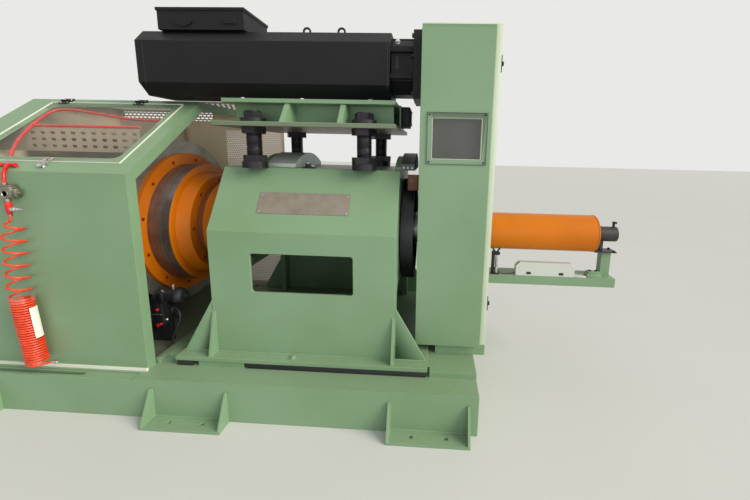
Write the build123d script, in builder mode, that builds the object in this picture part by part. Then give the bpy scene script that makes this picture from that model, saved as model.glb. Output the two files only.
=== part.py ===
from build123d import *
import os
from math import hypot, radians, tan

# Drive end of a tubular stranding machine, in millimetres.
# X runs along the strand towards the outlet, Y away from the operator's side, Z up from the floor.
# The origin is on the floor, below the middle of the headstock.

# Machine axis and running gaps
AXIS_HEIGHT = 1000
RUNNING_GAP = 8
BEARING_GAP = 0.05
SEAT_GAP = 0.3

# Bed of two long beams, cross beams and top plates
BED_RIGHT = 1042
BED_LEFT = -2240
BED_DEPTH = 1508
BEAM_WIDTH = 200
BEAM_HEIGHT = 232
CROSS_BEAM_WIDTH = 120
CROSS_BEAM_INSET = 60
CROSS_BEAM_PLACES = (-1560, -820, 0)
SKIN_PLATE = 8
PAD_PLATE = 35
PAD_DEPTH = 1210
PAD_INSET = 15
SKIN_LEFT = -905
PAD_SLOT_DEPTH = 55
PAD_SLOT_LONG = (-341, 768)
PAD_SLOT_SHORT = (-862, -618)
GUARD_PLATE_DEPTH = 1390
DRAIN_LENGTH = 960
DRAIN_WIDTH = 26
DRAIN_DEPTH = 40
DRAIN_INSET = 22
DRAIN_MARGIN = 60

# Feet welded to the bed's sides
FOOT_LENGTH = 450
FOOT_REACH = 96
FOOT_PLATE = 15
FOOT_GUSSET = 14
FOOT_GUSSET_HEIGHT = 172
FOOT_GUSSET_TIP = 10
FOOT_HOLE_RADIUS = 13
FOOT_HOLE_SPACING = 190
FOOT_END_INSET = 272
FOOT_PITCH = 1355
FOOT_COUNT = 3

# Headstock housing
HEAD_LENGTH = 1108
HEAD_DEPTH = 1070
HEAD_TOP_DEPTH = 614
HEAD_FOLD_HEIGHT = 1059
HEAD_TOP_HEIGHT = 1420
HEAD_PANEL = 20
HEAD_END_PLATE = 40
HEAD_SOLE = 25
HEAD_SOLE_LENGTH = 1510
HEAD_SOLE_DEPTH = 1226
WINDOW_LENGTH = 610
WINDOW_HEIGHT = 238
WINDOW_BOTTOM = 692
WINDOW_CORNER = 18
LEG_OPENING_WIDTH = 860
LEG_OPENING_HEIGHT = 410
LEG_OPENING_CORNER = 70
CREST_RADIUS = 505
CREST_LEFT = -345
CREST_LENGTH = 45
CREST_HALF_DEPTH = 250
HOOD_RADIUS = 514
HOOD_LENGTH = 180
HOOD_HALF_DEPTH = 258
SHAFT_HOOD_RADIUS = 526
SHAFT_HOOD_LENGTH = 84
WING_REACH = 190
WING_HEIGHT = 330
WING_THICKNESS = 16
SIDE_GUSSET_HEIGHT = 270
GUSSET_EDGE_INSET = 6
NAMEPLATE_LENGTH = 550
NAMEPLATE_HEIGHT = 138
NAMEPLATE_THICKNESS = 3
NAMEPLATE_CORNER = 4
NAMEPLATE_RISE = 0.44
NAMEPLATE_X = -8

# Bearings and shaft
SHAFT_RADIUS = 110
STRAND_BORE_RADIUS = 45
BEARING_BARREL_RADIUS = 190
BEARING_FLANGE_RADIUS = 240
BEARING_FLANGE = 25

# Drum on the shaft beyond the headstock
DRUM_RADIUS = 352
DRUM_LENGTH = 78
DRUM_WEB = 24
DRUM_RIM = 34

# Rotor, from the headstock leftwards
HUB_RADIUS = 300
HUB_LENGTH = 172
RECESS_RADIUS = 272
RECESS_LENGTH = 60
NECK_RADIUS = 365
NECK_END_RADIUS = 335
NECK_LENGTH = 81
BAND_RADIUS = 414
BAND_LENGTH = 140
FLANGE_RADIUS = 490
FLANGE_THICKNESS = 25
DISC_RADIUS = 575
DISC_THICKNESS = 12
TUBE_RADIUS = 440
TUBE_WALL = 20
TUBE_LENGTH = 1098
COUPLING_THICKNESS = 25
COUPLING_PCD = 930
COUPLING_HOLE_RADIUS = 11
COUPLING_HOLES = 12

# Output tube and its stand
OUTPUT_RADIUS = 127.5
OUTPUT_WALL = 17
OUTPUT_LENGTH = 818
OUTPUT_INSET = 48
OUTPUT_JOINT_FLANGE = 20

# Motor platform on four jack studs
STUD_RADIUS = 43
STUD_PITCH_X = 674
STUD_PITCH_Y = 680
NUT_FLATS = 132
NUT_HEIGHT = 38
WASHER_RADIUS = 74
WASHER_HEIGHT = 25
LOCK_NUT_FLATS = 100
STUD_PROUD = 6
LOWER_PLATE_LENGTH = 1066
LOWER_PLATE_DEPTH = 900
LOWER_PLATE = 27
LOWER_PLATE_BOTTOM = 1663
UPPER_PLATE_LENGTH = 1046
UPPER_PLATE_DEPTH = 700
UPPER_PLATE = 24
PLATFORM_GAP = 116
WEB_SPACING = 430
WEB_THICKNESS = 20
WEB_LENGTH = 1000
RIB_THICKNESS = 30
RIB_PLACES = (-125, 212)
RIB_TOP_REACH = 340
RIB_FOOT_REACH = 438

# Motor
MOTOR_HALF = 201
MOTOR_CHAMFER = 75
MOTOR_LEFT = -1148
MOTOR_LENGTH = 1618
MOTOR_FEET = 34
MOTOR_FOOT_WIDTH = 70
MOTOR_FOOT_INSET = 30
NECK_HALF = 165
BELL_LENGTH = 142
MOTOR_FLANGE = 60
TERMINAL_LENGTH = 560
TERMINAL_LEFT = -1016
TERMINAL_DEPTH = 320
TERMINAL_HEIGHT = 112
TERMINAL_LID = 18
TERMINAL_LIP = 6
TERMINAL_BOSS = (66, 38)
TERMINAL_BOSS_X = 165
TERMINAL_COVER = (76, 44)
TERMINAL_COVER_X = 470
TERMINAL_BOSS_DEPTH = 8
EYE_PLACES = (-112, 121)
EYE_RING = 22
EYE_WIRE = 7
EYE_STEM = 22
EYE_COLLAR = 12
EYE_SINK = 3

# Belt guard
CASING_LEFT = 672
CASING_RIGHT = 1112
CASING_DEPTH = 800
CASING_BOTTOM = 345
PLINTH_LEFT = 800
CASING_TOP = 2237
CASING_WALL = 8
CASING_LIP = 45
DOOR_RIGHT = 1075
DOOR_THICKNESS = 33
DOOR_TOP = 2204
DOOR_WINDOW_LEFT = 742
DOOR_WINDOW_LENGTH = 280
DOOR_WINDOW_BOTTOM = 1500
DOOR_WINDOW_HEIGHT = 230
PANE_MARGIN = 28
PANE_THICKNESS = 6

# Outlet bracket beyond the belt guard
ARM_TAIL = 24
ARM_WIDTH = 160
ARM_HEIGHT = 64
ARM_TOP = 700
ARM_WALL = 10
POST_INSET = 55
POST_LENGTH = 66
POST_WIDTH = 60
POST_TOP = 875
GUIDE_PLATE = 8
GUIDE_GAP = 8
GUIDE_LENGTH = 148
GUIDE_BODY_RADIUS = 52
GUIDE_BORE_RADIUS = 20
GUIDE_PLATE_WIDTH = 100
GUIDE_STEM_INSET = 47
GUIDE_STEM_LENGTH = 20
GUIDE_STEM_WIDTH = 24
GUIDE_STEM_TOP = 972
BLOCK_LEFT = 1349
BLOCK_LENGTH = 405
BLOCK_WIDTH = 44
BLOCK_HEIGHT = 96
BLOCK_CHAMFER = 26
BLOCK_HOLE_SPACING = 223
BLOCK_HOLE_RISE = 20
BLOCK_HOLE_RADIUS = 8

# Guard over the rotor
GUARD_LEFT = -2093
GUARD_RIGHT = -877
GUARD_HALF_DEPTH = 677
GUARD_FOLD_HEIGHT = 1388
GUARD_TOP_HEIGHT = 1846
GUARD_TOP_FRONT = -11
GUARD_SHEET = 6
GUARD_REAR_RIGHT = -583
GUARD_END_FLANGE = 57
HATCH_LEFT = -1860
HATCH_RIGHT = -1010
HATCH_LOW = 132
HATCH_HIGH = 96
HATCH_CORNER = 45
HATCH_PANE_MARGIN = 45
SCREEN_LENGTH = 980
SCREEN_HOLES_X = -1480
SCREEN_HEIGHT = 150
SCREEN_BOTTOM = 1490
SCREEN_Y = -285
SCREEN_HOLE_PITCH = 68
SCREEN_HOLE_ROWS = 3
SCREEN_HOLE_COLUMNS = 11
SCREEN_HOLE_WIDTH = 36
SCREEN_SHEET = 4
SCREEN_ROW_PITCH = 42
SILL_HEIGHT = 17
SILL_WIDTH = 8

# Brake caliper and air line
CALIPER_Y = -335
CALIPER_Z = 470
CALIPER_SIZE = (150, 150, 190)
CALIPER_SLOT = 28
BRACKET_THICKNESS = 40
VALVE_X = -1497
VALVE_Z = 1275
VALVE_SIZE = 90
VALVE_DEPTH = 55
VALVE_PIPE_RADIUS = 16
HOSE_RADIUS = 56
HOSE_BEND_SHARE = 0.45
HOSE_STANDOFF = 6
HOSE_FITTING_RADIUS = 10
HOSE_FITTING_REACH = 126
HOSE_FITTING_Z = 310
HOSE_POINTS = [
    (-1486, 1155), (-1486, 1040), (-1495, 915), (-1507, 790),
    (-1504, 660), (-1492, 530), (-1478, 400), (-1471, 292),
]

os.makedirs("parts", exist_ok=True)

bed_half = BED_DEPTH / 2
bed_top = BEAM_HEIGHT + SKIN_PLATE
pad_top = bed_top + PAD_PLATE
sole_top = pad_top + HEAD_SOLE
head_half = HEAD_LENGTH / 2
head_front = HEAD_DEPTH / 2
head_top_half = HEAD_TOP_DEPTH / 2


def block(x_range, y_range, z_range):
    """A plain rectangular piece between three pairs of limits."""
    with BuildPart() as piece:
        with BuildSketch(Plane.XY.offset(z_range[0])):
            with Locations((sum(x_range) / 2, sum(y_range) / 2)):
                Rectangle(x_range[1] - x_range[0], y_range[1] - y_range[0])
        extrude(amount=z_range[1] - z_range[0])
    return piece.part


def side_prism(outline, x_range):
    """A piece with one outline in the Y-Z plane, run along X."""
    with BuildPart() as piece:
        with BuildSketch(Plane.YZ.offset(x_range[0])):
            with BuildLine():
                Polyline(*outline, close=True)
            make_face()
        extrude(amount=x_range[1] - x_range[0])
    return piece.part


def axis_ring(x_range, outer, inner=0.0, end_outer=None):
    """A round piece on the machine axis, straight or tapering to end_outer."""
    end_radius = outer if end_outer is None else end_outer
    with BuildPart() as piece:
        with BuildSketch(Plane.XZ):
            with BuildLine():
                Polyline(
                    (x_range[0], AXIS_HEIGHT + inner),
                    (x_range[0], AXIS_HEIGHT + outer),
                    (x_range[1], AXIS_HEIGHT + end_radius),
                    (x_range[1], AXIS_HEIGHT + inner),
                    close=True,
                )
            make_face()
        revolve(axis=Axis((0, 0, AXIS_HEIGHT), (1, 0, 0)))
    return piece.part


def folded_sheet(outer, thickness, upright_end=False):
    """Inner face of a sheet folded once, inside an upright and a sloping outer face."""
    (y0, z0), (y1, z1), (y2, z2) = outer
    run, rise = y2 - y1, z2 - z1
    length = hypot(run, rise)
    start_y = y1 + thickness * rise / length
    start_z = z1 - thickness * run / length
    fold_z = start_z + (y1 + thickness - start_y) * rise / run
    if upright_end:
        end = (y2, start_z + (y2 - start_y) * rise / run)
    else:
        end = (start_y + (z2 - start_z) * run / rise, z2)
    return [(y0 + thickness, z0), (y1 + thickness, fold_z), end]


def long_beams():
    """The bed's two side beams, each with its long drain groove."""
    with BuildPart() as beams:
        for side in (-1, 1):
            outer = side * bed_half
            inner = side * (bed_half - BEAM_WIDTH)
            add(block((BED_LEFT, BED_RIGHT), sorted((outer, inner)), (0, BEAM_HEIGHT)))
            groove_y = side * (bed_half - DRAIN_INSET - DRAIN_WIDTH / 2)
            with BuildSketch(Plane.XY.offset(BEAM_HEIGHT)):
                with Locations((BED_LEFT + DRAIN_MARGIN + DRAIN_LENGTH / 2, groove_y)):
                    SlotOverall(DRAIN_LENGTH, DRAIN_WIDTH)
            extrude(amount=-DRAIN_DEPTH, mode=Mode.SUBTRACT)
    return beams.part


def cross_beams():
    """Cross beams between the long beams, evenly spaced, one of them under the origin."""
    inner = bed_half - BEAM_WIDTH
    with BuildPart() as beams:
        for place in (BED_LEFT + CROSS_BEAM_INSET, *CROSS_BEAM_PLACES, BED_RIGHT - CROSS_BEAM_INSET):
            half = CROSS_BEAM_WIDTH / 2
            add(block((place - half, place + half), (-inner, inner), (0, BEAM_HEIGHT)))
    return beams.part


def bed_top_plate():
    """Thin skin plates with the thick machined pad on them, slotted along both its edges."""
    pad_half = PAD_DEPTH / 2
    with BuildPart() as plate:
        add(block((SKIN_LEFT, BED_RIGHT), (-bed_half, bed_half), (BEAM_HEIGHT, bed_top)))
        guard_half = GUARD_PLATE_DEPTH / 2
        add(block((BED_LEFT, SKIN_LEFT), (-guard_half, guard_half), (BEAM_HEIGHT, bed_top)))
        add(block((SKIN_LEFT + PAD_INSET, BED_RIGHT), (-pad_half, pad_half), (bed_top, pad_top)))
        with BuildSketch(Plane.XY.offset(bed_top)):
            for low, high in (PAD_SLOT_LONG, PAD_SLOT_SHORT):
                for side in (-1, 1):
                    with Locations(((low + high) / 2, side * pad_half)):
                        Rectangle(high - low, 2 * PAD_SLOT_DEPTH)
        extrude(amount=PAD_PLATE, mode=Mode.SUBTRACT)
    return plate.part


def bed_feet():
    """All the feet, in pairs along the bed's two sides."""
    with BuildPart() as feet:
        for number in range(FOOT_COUNT):
            for side in (-1, 1):
                add(foot(BED_RIGHT - FOOT_END_INSET - FOOT_PITCH * number, side))
    return feet.part


def foot(centre, side):
    """Foot plate with two bolt holes and two triangular gussets."""
    wall = side * bed_half
    tip = side * (bed_half + FOOT_REACH)
    with BuildPart() as piece:
        add(block((centre - FOOT_LENGTH / 2, centre + FOOT_LENGTH / 2), sorted((wall, tip)), (0, FOOT_PLATE)))
        with Locations(
            *[(centre + offset, side * (bed_half + FOOT_REACH / 2), FOOT_PLATE)
              for offset in (-FOOT_HOLE_SPACING / 2, FOOT_HOLE_SPACING / 2)]
        ):
            Hole(FOOT_HOLE_RADIUS)
        outline = [
            (wall, FOOT_PLATE),
            (tip, FOOT_PLATE),
            (wall + side * FOOT_GUSSET_TIP, FOOT_PLATE + FOOT_GUSSET_HEIGHT),
            (wall, FOOT_PLATE + FOOT_GUSSET_HEIGHT),
        ]
        for start in (centre - FOOT_LENGTH / 2, centre + FOOT_LENGTH / 2 - FOOT_GUSSET):
            add(side_prism(outline, (start, start + FOOT_GUSSET)))
    return piece.part


slope_run = head_front - head_top_half
slope_rise = HEAD_TOP_HEIGHT - HEAD_FOLD_HEIGHT
head_outer = [(-head_front, sole_top), (-head_front, HEAD_FOLD_HEIGHT), (-head_top_half, HEAD_TOP_HEIGHT)]
head_inner = folded_sheet(head_outer, HEAD_PANEL)
top_underside = HEAD_TOP_HEIGHT - HEAD_PANEL
top_underside_y = head_inner[2][0] - HEAD_PANEL * slope_run / slope_rise


def head_panel(side):
    """Bent side panel of the headstock with its window cut through."""
    outline = [(-side * y, z) for y, z in head_outer + head_inner[::-1]]
    with BuildPart() as panel:
        add(side_prism(outline, (-head_half, head_half)))
        with BuildSketch(Plane.XZ.offset(-side * head_front)):
            with Locations((0, WINDOW_BOTTOM + WINDOW_HEIGHT / 2)):
                RectangleRounded(WINDOW_LENGTH, WINDOW_HEIGHT, WINDOW_CORNER)
        extrude(amount=side * HEAD_PANEL, mode=Mode.SUBTRACT)
    return panel.part


def head_end_plate(side):
    """End plate with the bearing bore and an opening between its legs; the right one has a round crest."""
    start = head_half - HEAD_END_PLATE if side > 0 else -head_half
    top_corner = head_inner[2] if side > 0 else (top_underside_y, top_underside)
    left_edge = [head_inner[0], head_inner[1], top_corner]
    outline = left_edge + [(-y, z) for y, z in left_edge[::-1]]
    with BuildPart() as plate:
        add(side_prism(outline, (start, start + HEAD_END_PLATE)))
        if side > 0:
            add(crest(start, HEAD_END_PLATE, CREST_RADIUS, CREST_HALF_DEPTH))
        with BuildSketch(Plane.YZ.offset(start)):
            with Locations((0, AXIS_HEIGHT)):
                Circle(BEARING_BARREL_RADIUS + SEAT_GAP)
            opening_height = LEG_OPENING_HEIGHT + LEG_OPENING_CORNER
            with Locations((0, sole_top + LEG_OPENING_HEIGHT - opening_height / 2)):
                RectangleRounded(LEG_OPENING_WIDTH, opening_height, LEG_OPENING_CORNER)
        extrude(amount=HEAD_END_PLATE, mode=Mode.SUBTRACT)
    return plate.part


def crest(start, length, radius, half_depth):
    """The part of a round disc on the machine axis that stands above the headstock's top."""
    with BuildPart() as piece:
        with BuildSketch(Plane.YZ.offset(start)):
            with Locations((0, AXIS_HEIGHT)):
                Circle(radius)
            with Locations((0, HEAD_TOP_HEIGHT + radius)):
                Rectangle(2 * half_depth, 2 * radius, mode=Mode.INTERSECT)
        extrude(amount=length)
    return piece.part


def head_top_plate():
    """Top plate between the bent panels' upper edges, with the round crest that the hood leans on."""
    left_edge = [(top_underside_y, top_underside), head_inner[2]]
    outline = left_edge + [(-y, z) for y, z in left_edge[::-1]]
    with BuildPart() as plate:
        add(side_prism(outline, (-head_half, head_half - HEAD_END_PLATE)))
        add(crest(CREST_LEFT, CREST_LENGTH, CREST_RADIUS, CREST_HALF_DEPTH))
    return plate.part


def head_gussets():
    """Wing plates in line with the side panels, and gussets at right angles to them."""
    with BuildPart() as gussets:
        for side in (-1, 1):
            face = side * head_front
            for end in (-1, 1):
                with BuildSketch(Plane.XZ.offset(-face)):
                    with BuildLine():
                        Polyline(
                            (end * head_half, sole_top),
                            (end * (head_half + WING_REACH), sole_top),
                            (end * head_half, sole_top + WING_HEIGHT),
                            close=True,
                        )
                    make_face()
                extrude(amount=side * WING_THICKNESS)
                start = end * (head_half - WING_THICKNESS / 2) - WING_THICKNESS / 2
                sole_edge = side * (HEAD_SOLE_DEPTH / 2 - GUSSET_EDGE_INSET)
                outline = [(face, sole_top), (sole_edge, sole_top), (face, sole_top + SIDE_GUSSET_HEIGHT)]
                add(side_prism(outline, (start, start + WING_THICKNESS)))
    return gussets.part


def nameplate():
    """Bare plate on the headstock's sloping front."""
    centre_y = -head_front + NAMEPLATE_RISE * slope_run
    face = Plane(
        origin=(NAMEPLATE_X, centre_y, HEAD_FOLD_HEIGHT + NAMEPLATE_RISE * slope_rise),
        x_dir=(1, 0, 0),
        z_dir=(0, -slope_rise, slope_run),
    )
    with BuildPart() as plate:
        with BuildSketch(face):
            RectangleRounded(NAMEPLATE_LENGTH, NAMEPLATE_HEIGHT, NAMEPLATE_CORNER)
        extrude(amount=NAMEPLATE_THICKNESS)
    return plate.part


def bearing_housings():
    """Flanged bearing housings inside the two end plates, with the shaft's bores."""
    with BuildPart() as housings:
        for side in (-1, 1):
            outer_face = side * head_half
            inner_face = side * (head_half - HEAD_END_PLATE)
            flange_end = inner_face - side * BEARING_FLANGE
            add(axis_ring(sorted((outer_face, inner_face)), BEARING_BARREL_RADIUS, SHAFT_RADIUS + BEARING_GAP))
            add(axis_ring(sorted((inner_face, flange_end)), BEARING_FLANGE_RADIUS, SHAFT_RADIUS + BEARING_GAP))
    return housings.part


# Rotor stations along X
hub_right = -head_half - RUNNING_GAP
hub_left = hub_right - HUB_LENGTH
recess_left = hub_left - RECESS_LENGTH
neck_left = recess_left - NECK_LENGTH
band_left = neck_left - BAND_LENGTH
flange_left = band_left - FLANGE_THICKNESS
disc_left = flange_left - DISC_THICKNESS
tube_left = disc_left - TUBE_LENGTH
coupling_left = tube_left - COUPLING_THICKNESS
output_left = CASING_RIGHT - OUTPUT_INSET
output_right = output_left + OUTPUT_LENGTH
guide_left = output_right + GUIDE_GAP
post_left = guide_left + POST_INSET
arm_right = post_left + POST_LENGTH + ARM_TAIL


def coupling_flange():
    """Round plate that closes the tube, drilled for the next tube section."""
    with BuildPart() as flange:
        add(axis_ring((coupling_left, tube_left), FLANGE_RADIUS, STRAND_BORE_RADIUS))
        with BuildSketch(Plane.YZ.offset(coupling_left)):
            with Locations((0, AXIS_HEIGHT)):
                with PolarLocations(COUPLING_PCD / 2, COUPLING_HOLES):
                    Circle(COUPLING_HOLE_RADIUS)
        extrude(amount=COUPLING_THICKNESS, mode=Mode.SUBTRACT)
    return flange.part


def drive_drum():
    """Drum with a thin web and a wide rim, pressed on the shaft beside the headstock."""
    start = head_half + RUNNING_GAP
    with BuildPart() as drum:
        add(axis_ring((start, start + DRUM_LENGTH), DRUM_RADIUS, DRUM_RADIUS - DRUM_RIM))
        add(axis_ring((start, start + DRUM_WEB), DRUM_RADIUS - DRUM_RIM, SHAFT_RADIUS))
    return drum.part


def main_shaft():
    """Hollow shaft from the hub through both bearings to the flange of the output tube."""
    with BuildPart() as shaft:
        add(axis_ring((hub_right, output_left - OUTPUT_JOINT_FLANGE), SHAFT_RADIUS, STRAND_BORE_RADIUS))
        add(axis_ring((output_left - OUTPUT_JOINT_FLANGE, output_left), OUTPUT_RADIUS, STRAND_BORE_RADIUS))
    return shaft.part


upper_plate_bottom = LOWER_PLATE_BOTTOM + LOWER_PLATE + PLATFORM_GAP
upper_plate_top = upper_plate_bottom + UPPER_PLATE
motor_axis = upper_plate_top + MOTOR_FEET + MOTOR_HALF
motor_right = MOTOR_LEFT + MOTOR_LENGTH


def platform_lower_plate():
    """Lower plate of the platform, drilled for the four jack studs."""
    with BuildPart() as plate:
        add(block(
            (-LOWER_PLATE_LENGTH / 2, LOWER_PLATE_LENGTH / 2),
            (-LOWER_PLATE_DEPTH / 2, LOWER_PLATE_DEPTH / 2),
            (LOWER_PLATE_BOTTOM, LOWER_PLATE_BOTTOM + LOWER_PLATE),
        ))
        with Locations((0, 0, LOWER_PLATE_BOTTOM + LOWER_PLATE)):
            with GridLocations(STUD_PITCH_X, STUD_PITCH_Y, 2, 2):
                Hole(STUD_RADIUS + SEAT_GAP)
    return plate.part


def platform_ribs():
    """Two long webs and the tapering ribs that stand outside them."""
    low = LOWER_PLATE_BOTTOM + LOWER_PLATE
    web_out = WEB_SPACING / 2 + WEB_THICKNESS
    with BuildPart() as ribs:
        for side in (-1, 1):
            add(block((-WEB_LENGTH / 2, WEB_LENGTH / 2), sorted((side * WEB_SPACING / 2, side * web_out)),
                      (low, upper_plate_bottom)))
            outline = [
                (side * web_out, low),
                (side * RIB_FOOT_REACH, low),
                (side * RIB_TOP_REACH, upper_plate_bottom),
                (side * web_out, upper_plate_bottom),
            ]
            for place in RIB_PLACES:
                add(side_prism(outline, (place - RIB_THICKNESS / 2, place + RIB_THICKNESS / 2)))
    return ribs.part


def jack_studs():
    """The four jack studs between the headstock and the platform."""
    with BuildPart() as studs:
        for x in (-STUD_PITCH_X / 2, STUD_PITCH_X / 2):
            for y in (-STUD_PITCH_Y / 2, STUD_PITCH_Y / 2):
                add(jack_stud(x, y))
    return studs.part


def jack_stud(x, y):
    """Jack stud with its nuts below, above and under the platform."""
    low = LOWER_PLATE_BOTTOM
    high = LOWER_PLATE_BOTTOM + LOWER_PLATE
    with BuildPart() as stud:
        with BuildSketch(Plane.XY.offset(HEAD_TOP_HEIGHT)):
            with Locations((x, y)):
                Circle(WASHER_RADIUS)
        extrude(amount=NUT_HEIGHT)
        with BuildSketch(Plane.XY.offset(HEAD_TOP_HEIGHT + NUT_HEIGHT)):
            with Locations((x, y)):
                RegularPolygon(NUT_FLATS / 2, 6, major_radius=False)
        extrude(amount=NUT_HEIGHT)
        with BuildSketch(Plane.XY.offset(HEAD_TOP_HEIGHT)):
            with Locations((x, y)):
                Circle(STUD_RADIUS)
        extrude(amount=high + WASHER_HEIGHT + NUT_HEIGHT + STUD_PROUD - HEAD_TOP_HEIGHT)
        with BuildSketch(Plane.XY.offset(low - NUT_HEIGHT)):
            with Locations((x, y)):
                RegularPolygon(NUT_FLATS / 2, 6, major_radius=False)
        extrude(amount=NUT_HEIGHT)
        with BuildSketch(Plane.XY.offset(high)):
            with Locations((x, y)):
                Circle(WASHER_RADIUS)
        extrude(amount=WASHER_HEIGHT)
        with BuildSketch(Plane.XY.offset(high + WASHER_HEIGHT)):
            with Locations((x, y)):
                RegularPolygon(LOCK_NUT_FLATS / 2, 6, major_radius=False)
        extrude(amount=NUT_HEIGHT)
    return stud.part


def chamfered_square(half, cut, height):
    """Square outline with cut corners, centred at a height in the Y-Z plane."""
    return [
        (-half, height - half + cut), (-half, height + half - cut), (-half + cut, height + half),
        (half - cut, height + half), (half, height + half - cut), (half, height - half + cut),
        (half - cut, height - half), (-half + cut, height - half),
    ]


def motor_flange():
    """Waisted bell at the motor's drive end and the square flange beyond it."""
    flange_start = motor_right + BELL_LENGTH
    limits = (motor_axis - MOTOR_HALF, motor_axis + MOTOR_HALF)
    with BuildPart() as flange:
        add(side_prism(chamfered_square(NECK_HALF, MOTOR_CHAMFER, motor_axis), (motor_right, flange_start)))
        add(block((flange_start, flange_start + MOTOR_FLANGE), (-MOTOR_HALF, MOTOR_HALF), limits))
    return flange.part


def motor_body():
    """Long chamfered body on two foot bars."""
    feet_x = (MOTOR_FOOT_INSET - UPPER_PLATE_LENGTH / 2, motor_right - MOTOR_FOOT_INSET)
    with BuildPart() as body:
        add(side_prism(chamfered_square(MOTOR_HALF, MOTOR_CHAMFER, motor_axis), (MOTOR_LEFT, motor_right)))
        for side in (-1, 1):
            outer = side * (MOTOR_HALF - MOTOR_CHAMFER)
            inner = outer - side * MOTOR_FOOT_WIDTH
            add(block(feet_x, sorted((outer, inner)), (upper_plate_top, upper_plate_top + MOTOR_FEET)))
    return body.part


def terminal_box():
    """Terminal box with an overhanging lid and two blanking plates on its front."""
    low = motor_axis + MOTOR_HALF
    right = TERMINAL_LEFT + TERMINAL_LENGTH
    half = TERMINAL_DEPTH / 2
    with BuildPart() as box:
        add(block((TERMINAL_LEFT, right), (-half, half), (low, low + TERMINAL_HEIGHT)))
        lid_half = half + TERMINAL_LIP
        add(block((TERMINAL_LEFT - TERMINAL_LIP, right + TERMINAL_LIP), (-lid_half, lid_half),
                  (low + TERMINAL_HEIGHT, low + TERMINAL_HEIGHT + TERMINAL_LID)))
        with BuildSketch(Plane.XZ.offset(half)):
            with Locations((TERMINAL_LEFT + TERMINAL_BOSS_X, low + TERMINAL_HEIGHT / 2)):
                Ellipse(*TERMINAL_BOSS)
            with Locations((TERMINAL_LEFT + TERMINAL_COVER_X, low + TERMINAL_HEIGHT / 2)):
                Rectangle(*TERMINAL_COVER)
        extrude(amount=TERMINAL_BOSS_DEPTH)
    return box.part


def lifting_eyes():
    """Two ring bolts on top of the motor."""
    top = motor_axis + MOTOR_HALF
    with BuildPart() as eyes:
        for place in EYE_PLACES:
            with BuildSketch(Plane.XY.offset(top)):
                with Locations((place, 0)):
                    Circle(EYE_COLLAR)
            extrude(amount=EYE_STEM)
            ring_z = top + EYE_STEM + EYE_RING - EYE_SINK
            ring_plane = Plane(origin=(place, 0, ring_z), x_dir=(1, 0, 0), z_dir=(0, 1, 0))
            with Locations(ring_plane):
                Torus(EYE_RING, EYE_WIRE)
    return eyes.part


def belt_casing():
    """Sheet casing round the belts, with lips round its door opening and bored for the shaft."""
    half = CASING_DEPTH / 2
    with BuildPart() as casing:
        add(block((CASING_LEFT, CASING_RIGHT), (-half, half), (CASING_BOTTOM, CASING_TOP)))
        add(block((PLINTH_LEFT, CASING_RIGHT), (-half, half), (pad_top, CASING_BOTTOM)))
        with BuildSketch(Plane.XZ.offset(half - CASING_WALL)):
            with Locations(((CASING_LEFT + CASING_RIGHT) / 2, (CASING_BOTTOM + CASING_TOP) / 2)):
                Rectangle(CASING_RIGHT - CASING_LEFT - 2 * CASING_WALL,
                          CASING_TOP - CASING_BOTTOM - 2 * CASING_WALL)
        extrude(amount=2 * CASING_WALL - CASING_DEPTH, mode=Mode.SUBTRACT)
        with BuildSketch(Plane.XZ.offset(half)):
            with Locations(((CASING_LEFT + CASING_WALL + CASING_RIGHT - CASING_LIP) / 2,
                            (CASING_BOTTOM + CASING_WALL + CASING_TOP - CASING_LIP) / 2)):
                Rectangle(CASING_RIGHT - CASING_LIP - CASING_LEFT - CASING_WALL,
                          CASING_TOP - CASING_LIP - CASING_BOTTOM - CASING_WALL)
        extrude(amount=-CASING_WALL, mode=Mode.SUBTRACT)
        for start, radius in ((CASING_LEFT, SHAFT_RADIUS), (CASING_RIGHT - CASING_WALL, OUTPUT_RADIUS)):
            with BuildSketch(Plane.YZ.offset(start)):
                with Locations((0, AXIS_HEIGHT)):
                    Circle(radius + RUNNING_GAP)
            extrude(amount=CASING_WALL, mode=Mode.SUBTRACT)
    return casing.part


door_window_centre = (DOOR_WINDOW_LEFT + DOOR_WINDOW_LENGTH / 2, DOOR_WINDOW_BOTTOM + DOOR_WINDOW_HEIGHT / 2)


def belt_door():
    """Front door of the belt guard, with its window."""
    front = -CASING_DEPTH / 2 - DOOR_THICKNESS
    back = -CASING_DEPTH / 2
    with BuildPart() as door:
        add(block((CASING_LEFT, DOOR_RIGHT), (front, back), (CASING_BOTTOM, DOOR_TOP)))
        with BuildSketch(Plane.XZ.offset(-front)):
            with Locations(door_window_centre):
                Rectangle(DOOR_WINDOW_LENGTH, DOOR_WINDOW_HEIGHT)
        extrude(amount=-DOOR_THICKNESS, mode=Mode.SUBTRACT)
    return door.part


def belt_window():
    """Clear sheet screwed over the door's window."""
    front = CASING_DEPTH / 2 + DOOR_THICKNESS
    with BuildPart() as pane:
        with BuildSketch(Plane.XZ.offset(front)):
            with Locations(door_window_centre):
                Rectangle(DOOR_WINDOW_LENGTH + 2 * PANE_MARGIN, DOOR_WINDOW_HEIGHT + 2 * PANE_MARGIN)
        extrude(amount=PANE_THICKNESS)
    return pane.part


def outlet_arm():
    """Channel that carries the outlet's fittings, open at its underside, with the guide's post."""
    half = ARM_WIDTH / 2
    low = ARM_TOP - ARM_HEIGHT
    outline = [
        (-half, low), (-half, ARM_TOP), (half, ARM_TOP), (half, low),
        (half - ARM_WALL, low), (half - ARM_WALL, ARM_TOP - ARM_WALL),
        (-half + ARM_WALL, ARM_TOP - ARM_WALL), (-half + ARM_WALL, low),
    ]
    with BuildPart() as arm:
        add(side_prism(outline, (CASING_RIGHT, arm_right)))
        add(block((post_left, post_left + POST_LENGTH), (-POST_WIDTH / 2, POST_WIDTH / 2),
                  (ARM_TOP, POST_TOP)))
    return arm.part


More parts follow.
